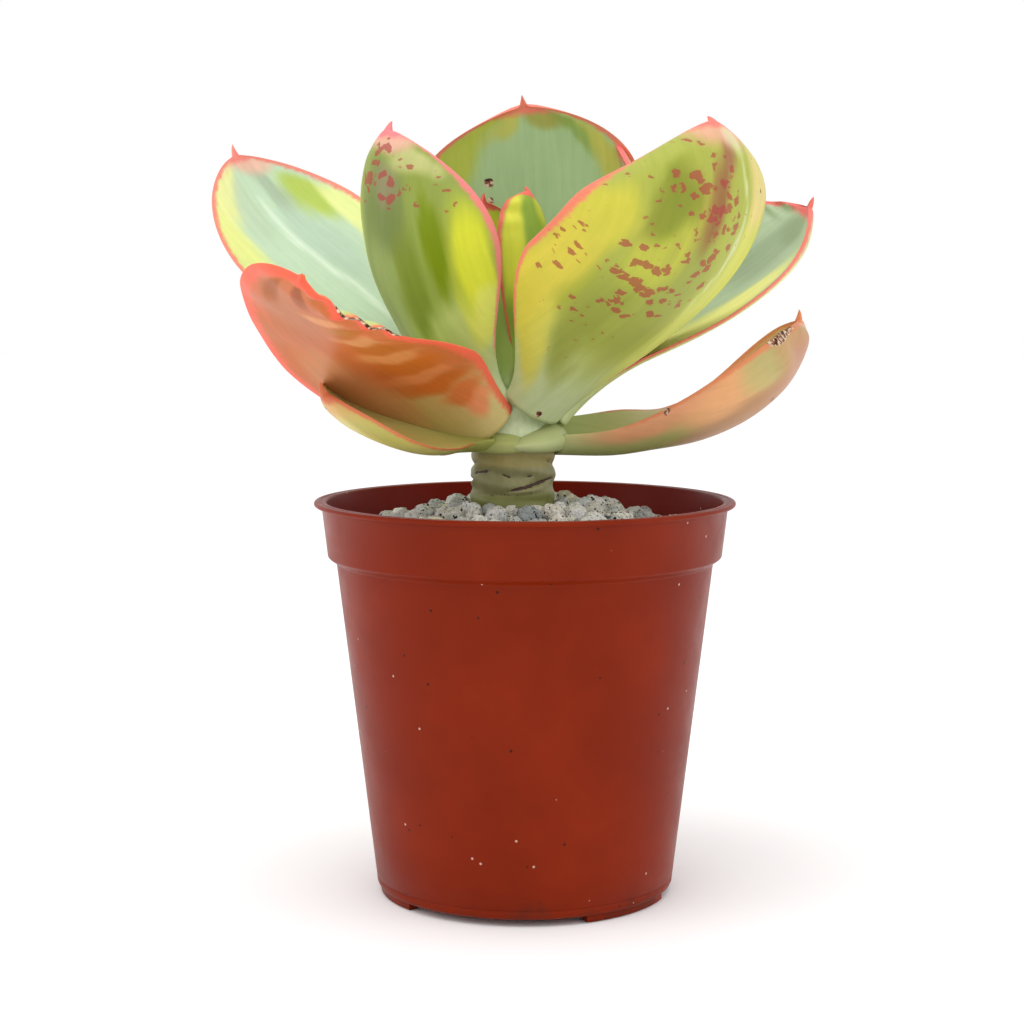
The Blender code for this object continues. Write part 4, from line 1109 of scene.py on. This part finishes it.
def make_stem(material):
    """The stem, which old leaf bases swell a little between its scars: creases that run part of the way round."""
    low, high = MIX_TOP - STEM_BURIED, CROWN_TOP
    heights = [high + (low - high) * i / STEM_ROWS for i in range(STEM_ROWS + 1)]
    profile = [(0.0, high), *((crown_radius(height), height) for height in heights), (0.0, low)]
    stem = turn_profile("scarred_stem", profile, STEM_STEPS, material, STEM_X)
    vertices = stem.data.vertices
    skin, marks = np.zeros((2, len(vertices), 3))
    for k, vertex in enumerate(vertices):
        x, y, z = vertex.co.x - STEM_X, vertex.co.y, vertex.co.z
        turn, radius = math.degrees(math.atan2(y, x)), math.hypot(x, y)
        above = (z - RIM) / MM
        swell = 0.35 * math.sin(2 * math.pi * (above / SCAR_PITCH + turn / 180.0))
        swell += 0.6 * noise.noise(vertex.co / (6 * MM))
        for at, height, span, slope, strength in SCARS:
            away = (turn - at + 180) % 360 - 180
            line = height + slope * away / span
            inside = max(0.0, 1 - (away / span) ** 4)
            crease = math.exp(-(((above - line) / CREASE_WIDTH) ** 2)) * inside
            ledge = math.exp(-(((above - line + LEDGE_DROP) / LEDGE_WIDTH) ** 2)) * inside
            swell += (LEDGE_HEIGHT * ledge - CREASE_DEPTH * crease) * strength
            marks[k, 0] = max(marks[k, 0], crease * strength)
        if 1e-6 < radius and z < STEM_TOP + SWELL_FADE:
            fade = min(1.0, (STEM_TOP + SWELL_FADE - z) / SWELL_FADE)
            scale = 1 + (swell * fade - 0.15) * MM / radius
            vertex.co.x, vertex.co.y = STEM_X + x * scale, y * scale
        # Painted shade: the rind's olive tones are set darker than the stem's own colour, to stand in for the shade
        # under the rosette
        tone = srgb("#8C8A60")
        for shade, start, over, amount in STEM_TONES_AND_SHADE:
            tone = tone + (srgb(shade) - tone) * amount * smoothstep((above - start) / over)
        skin[k] = to_linear(tone)
    set_colours(stem, "skin", skin)
    set_colours(stem, "marks", marks)
    show_as(stem, "stem")


def paint_mix(material):
    """The potting mix keeps its shape from the frame and gets its finish."""
    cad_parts["potting_mix"].material_slots[0].material = material


def floor_card():
    """White sheet of matt card."""
    made, _, shader = new_material("matt_white_card")
    feed(shader, {"Base Color": colour("#FFFFFF"), "Roughness": 0.9, "Specular IOR Level": 0.1})
    return made


def add_light(name, place, target, size, power):
    lamp = bpy.data.lights.new(name, "AREA")
    lamp.shape, lamp.size, lamp.energy = "DISK", size, power
    obj = bpy.data.objects.new(name, lamp)
    obj.location = place
    obj.rotation_euler = (Vector(target) - Vector(place)).to_track_quat("-Z", "Y").to_euler()
    bpy.context.scene.collection.objects.link(obj)


def make_studio():
    """A white room with three soft lights, and the camera in front, which looks down by 6 degrees."""
    scene = bpy.context.scene
    floor = mesh_object("floor", [(-4, -4, 0), (4, -4, 0), (4, 4, 0), (-4, 4, 0)], [(0, 1, 2, 3)], floor_card())
    floor.location.z = -0.0002
    world = bpy.data.worlds.new("soft_white_room")
    scene.world = world
    world.use_nodes = True
    feed(world.node_tree.nodes["Background"], {"Color": colour("#FFFFFF"), "Strength": 1.0})
    add_light("overhead", (-0.15, -0.25, 1.1), (0, 0, 0.12), 0.9, 3.5)
    add_light("left_window", (-0.95, -0.35, 0.55), (0, 0, 0.10), 0.6, 1.4)
    add_light("right_window", (0.95, -0.25, 0.45), (0, 0, 0.10), 0.6, 1.2)
    lens = bpy.data.cameras.new("front_view")
    lens.lens, lens.sensor_width = 76.45, 36.0
    camera = bpy.data.objects.new("front_view", lens)
    camera.location = (-0.0032, -0.5407, 0.1530)
    camera.rotation_euler = (math.pi / 2 - 0.1063, 0.0, 0.0)
    scene.collection.objects.link(camera)
    scene.camera = camera
    scene.view_settings.view_transform = "Standard"


def main():
    skin = leaf_skin()
    for index, leaf in enumerate(LEAVES):
        make_leaf(leaf, index, skin)
    for index, clasp in enumerate(CLASPS):
        make_clasp(clasp, index, skin)
    make_stem(stem_skin())
    make_pot(pot_plastic())
    make_pumice(pumice())
    paint_mix(peat())
    make_studio()


main()
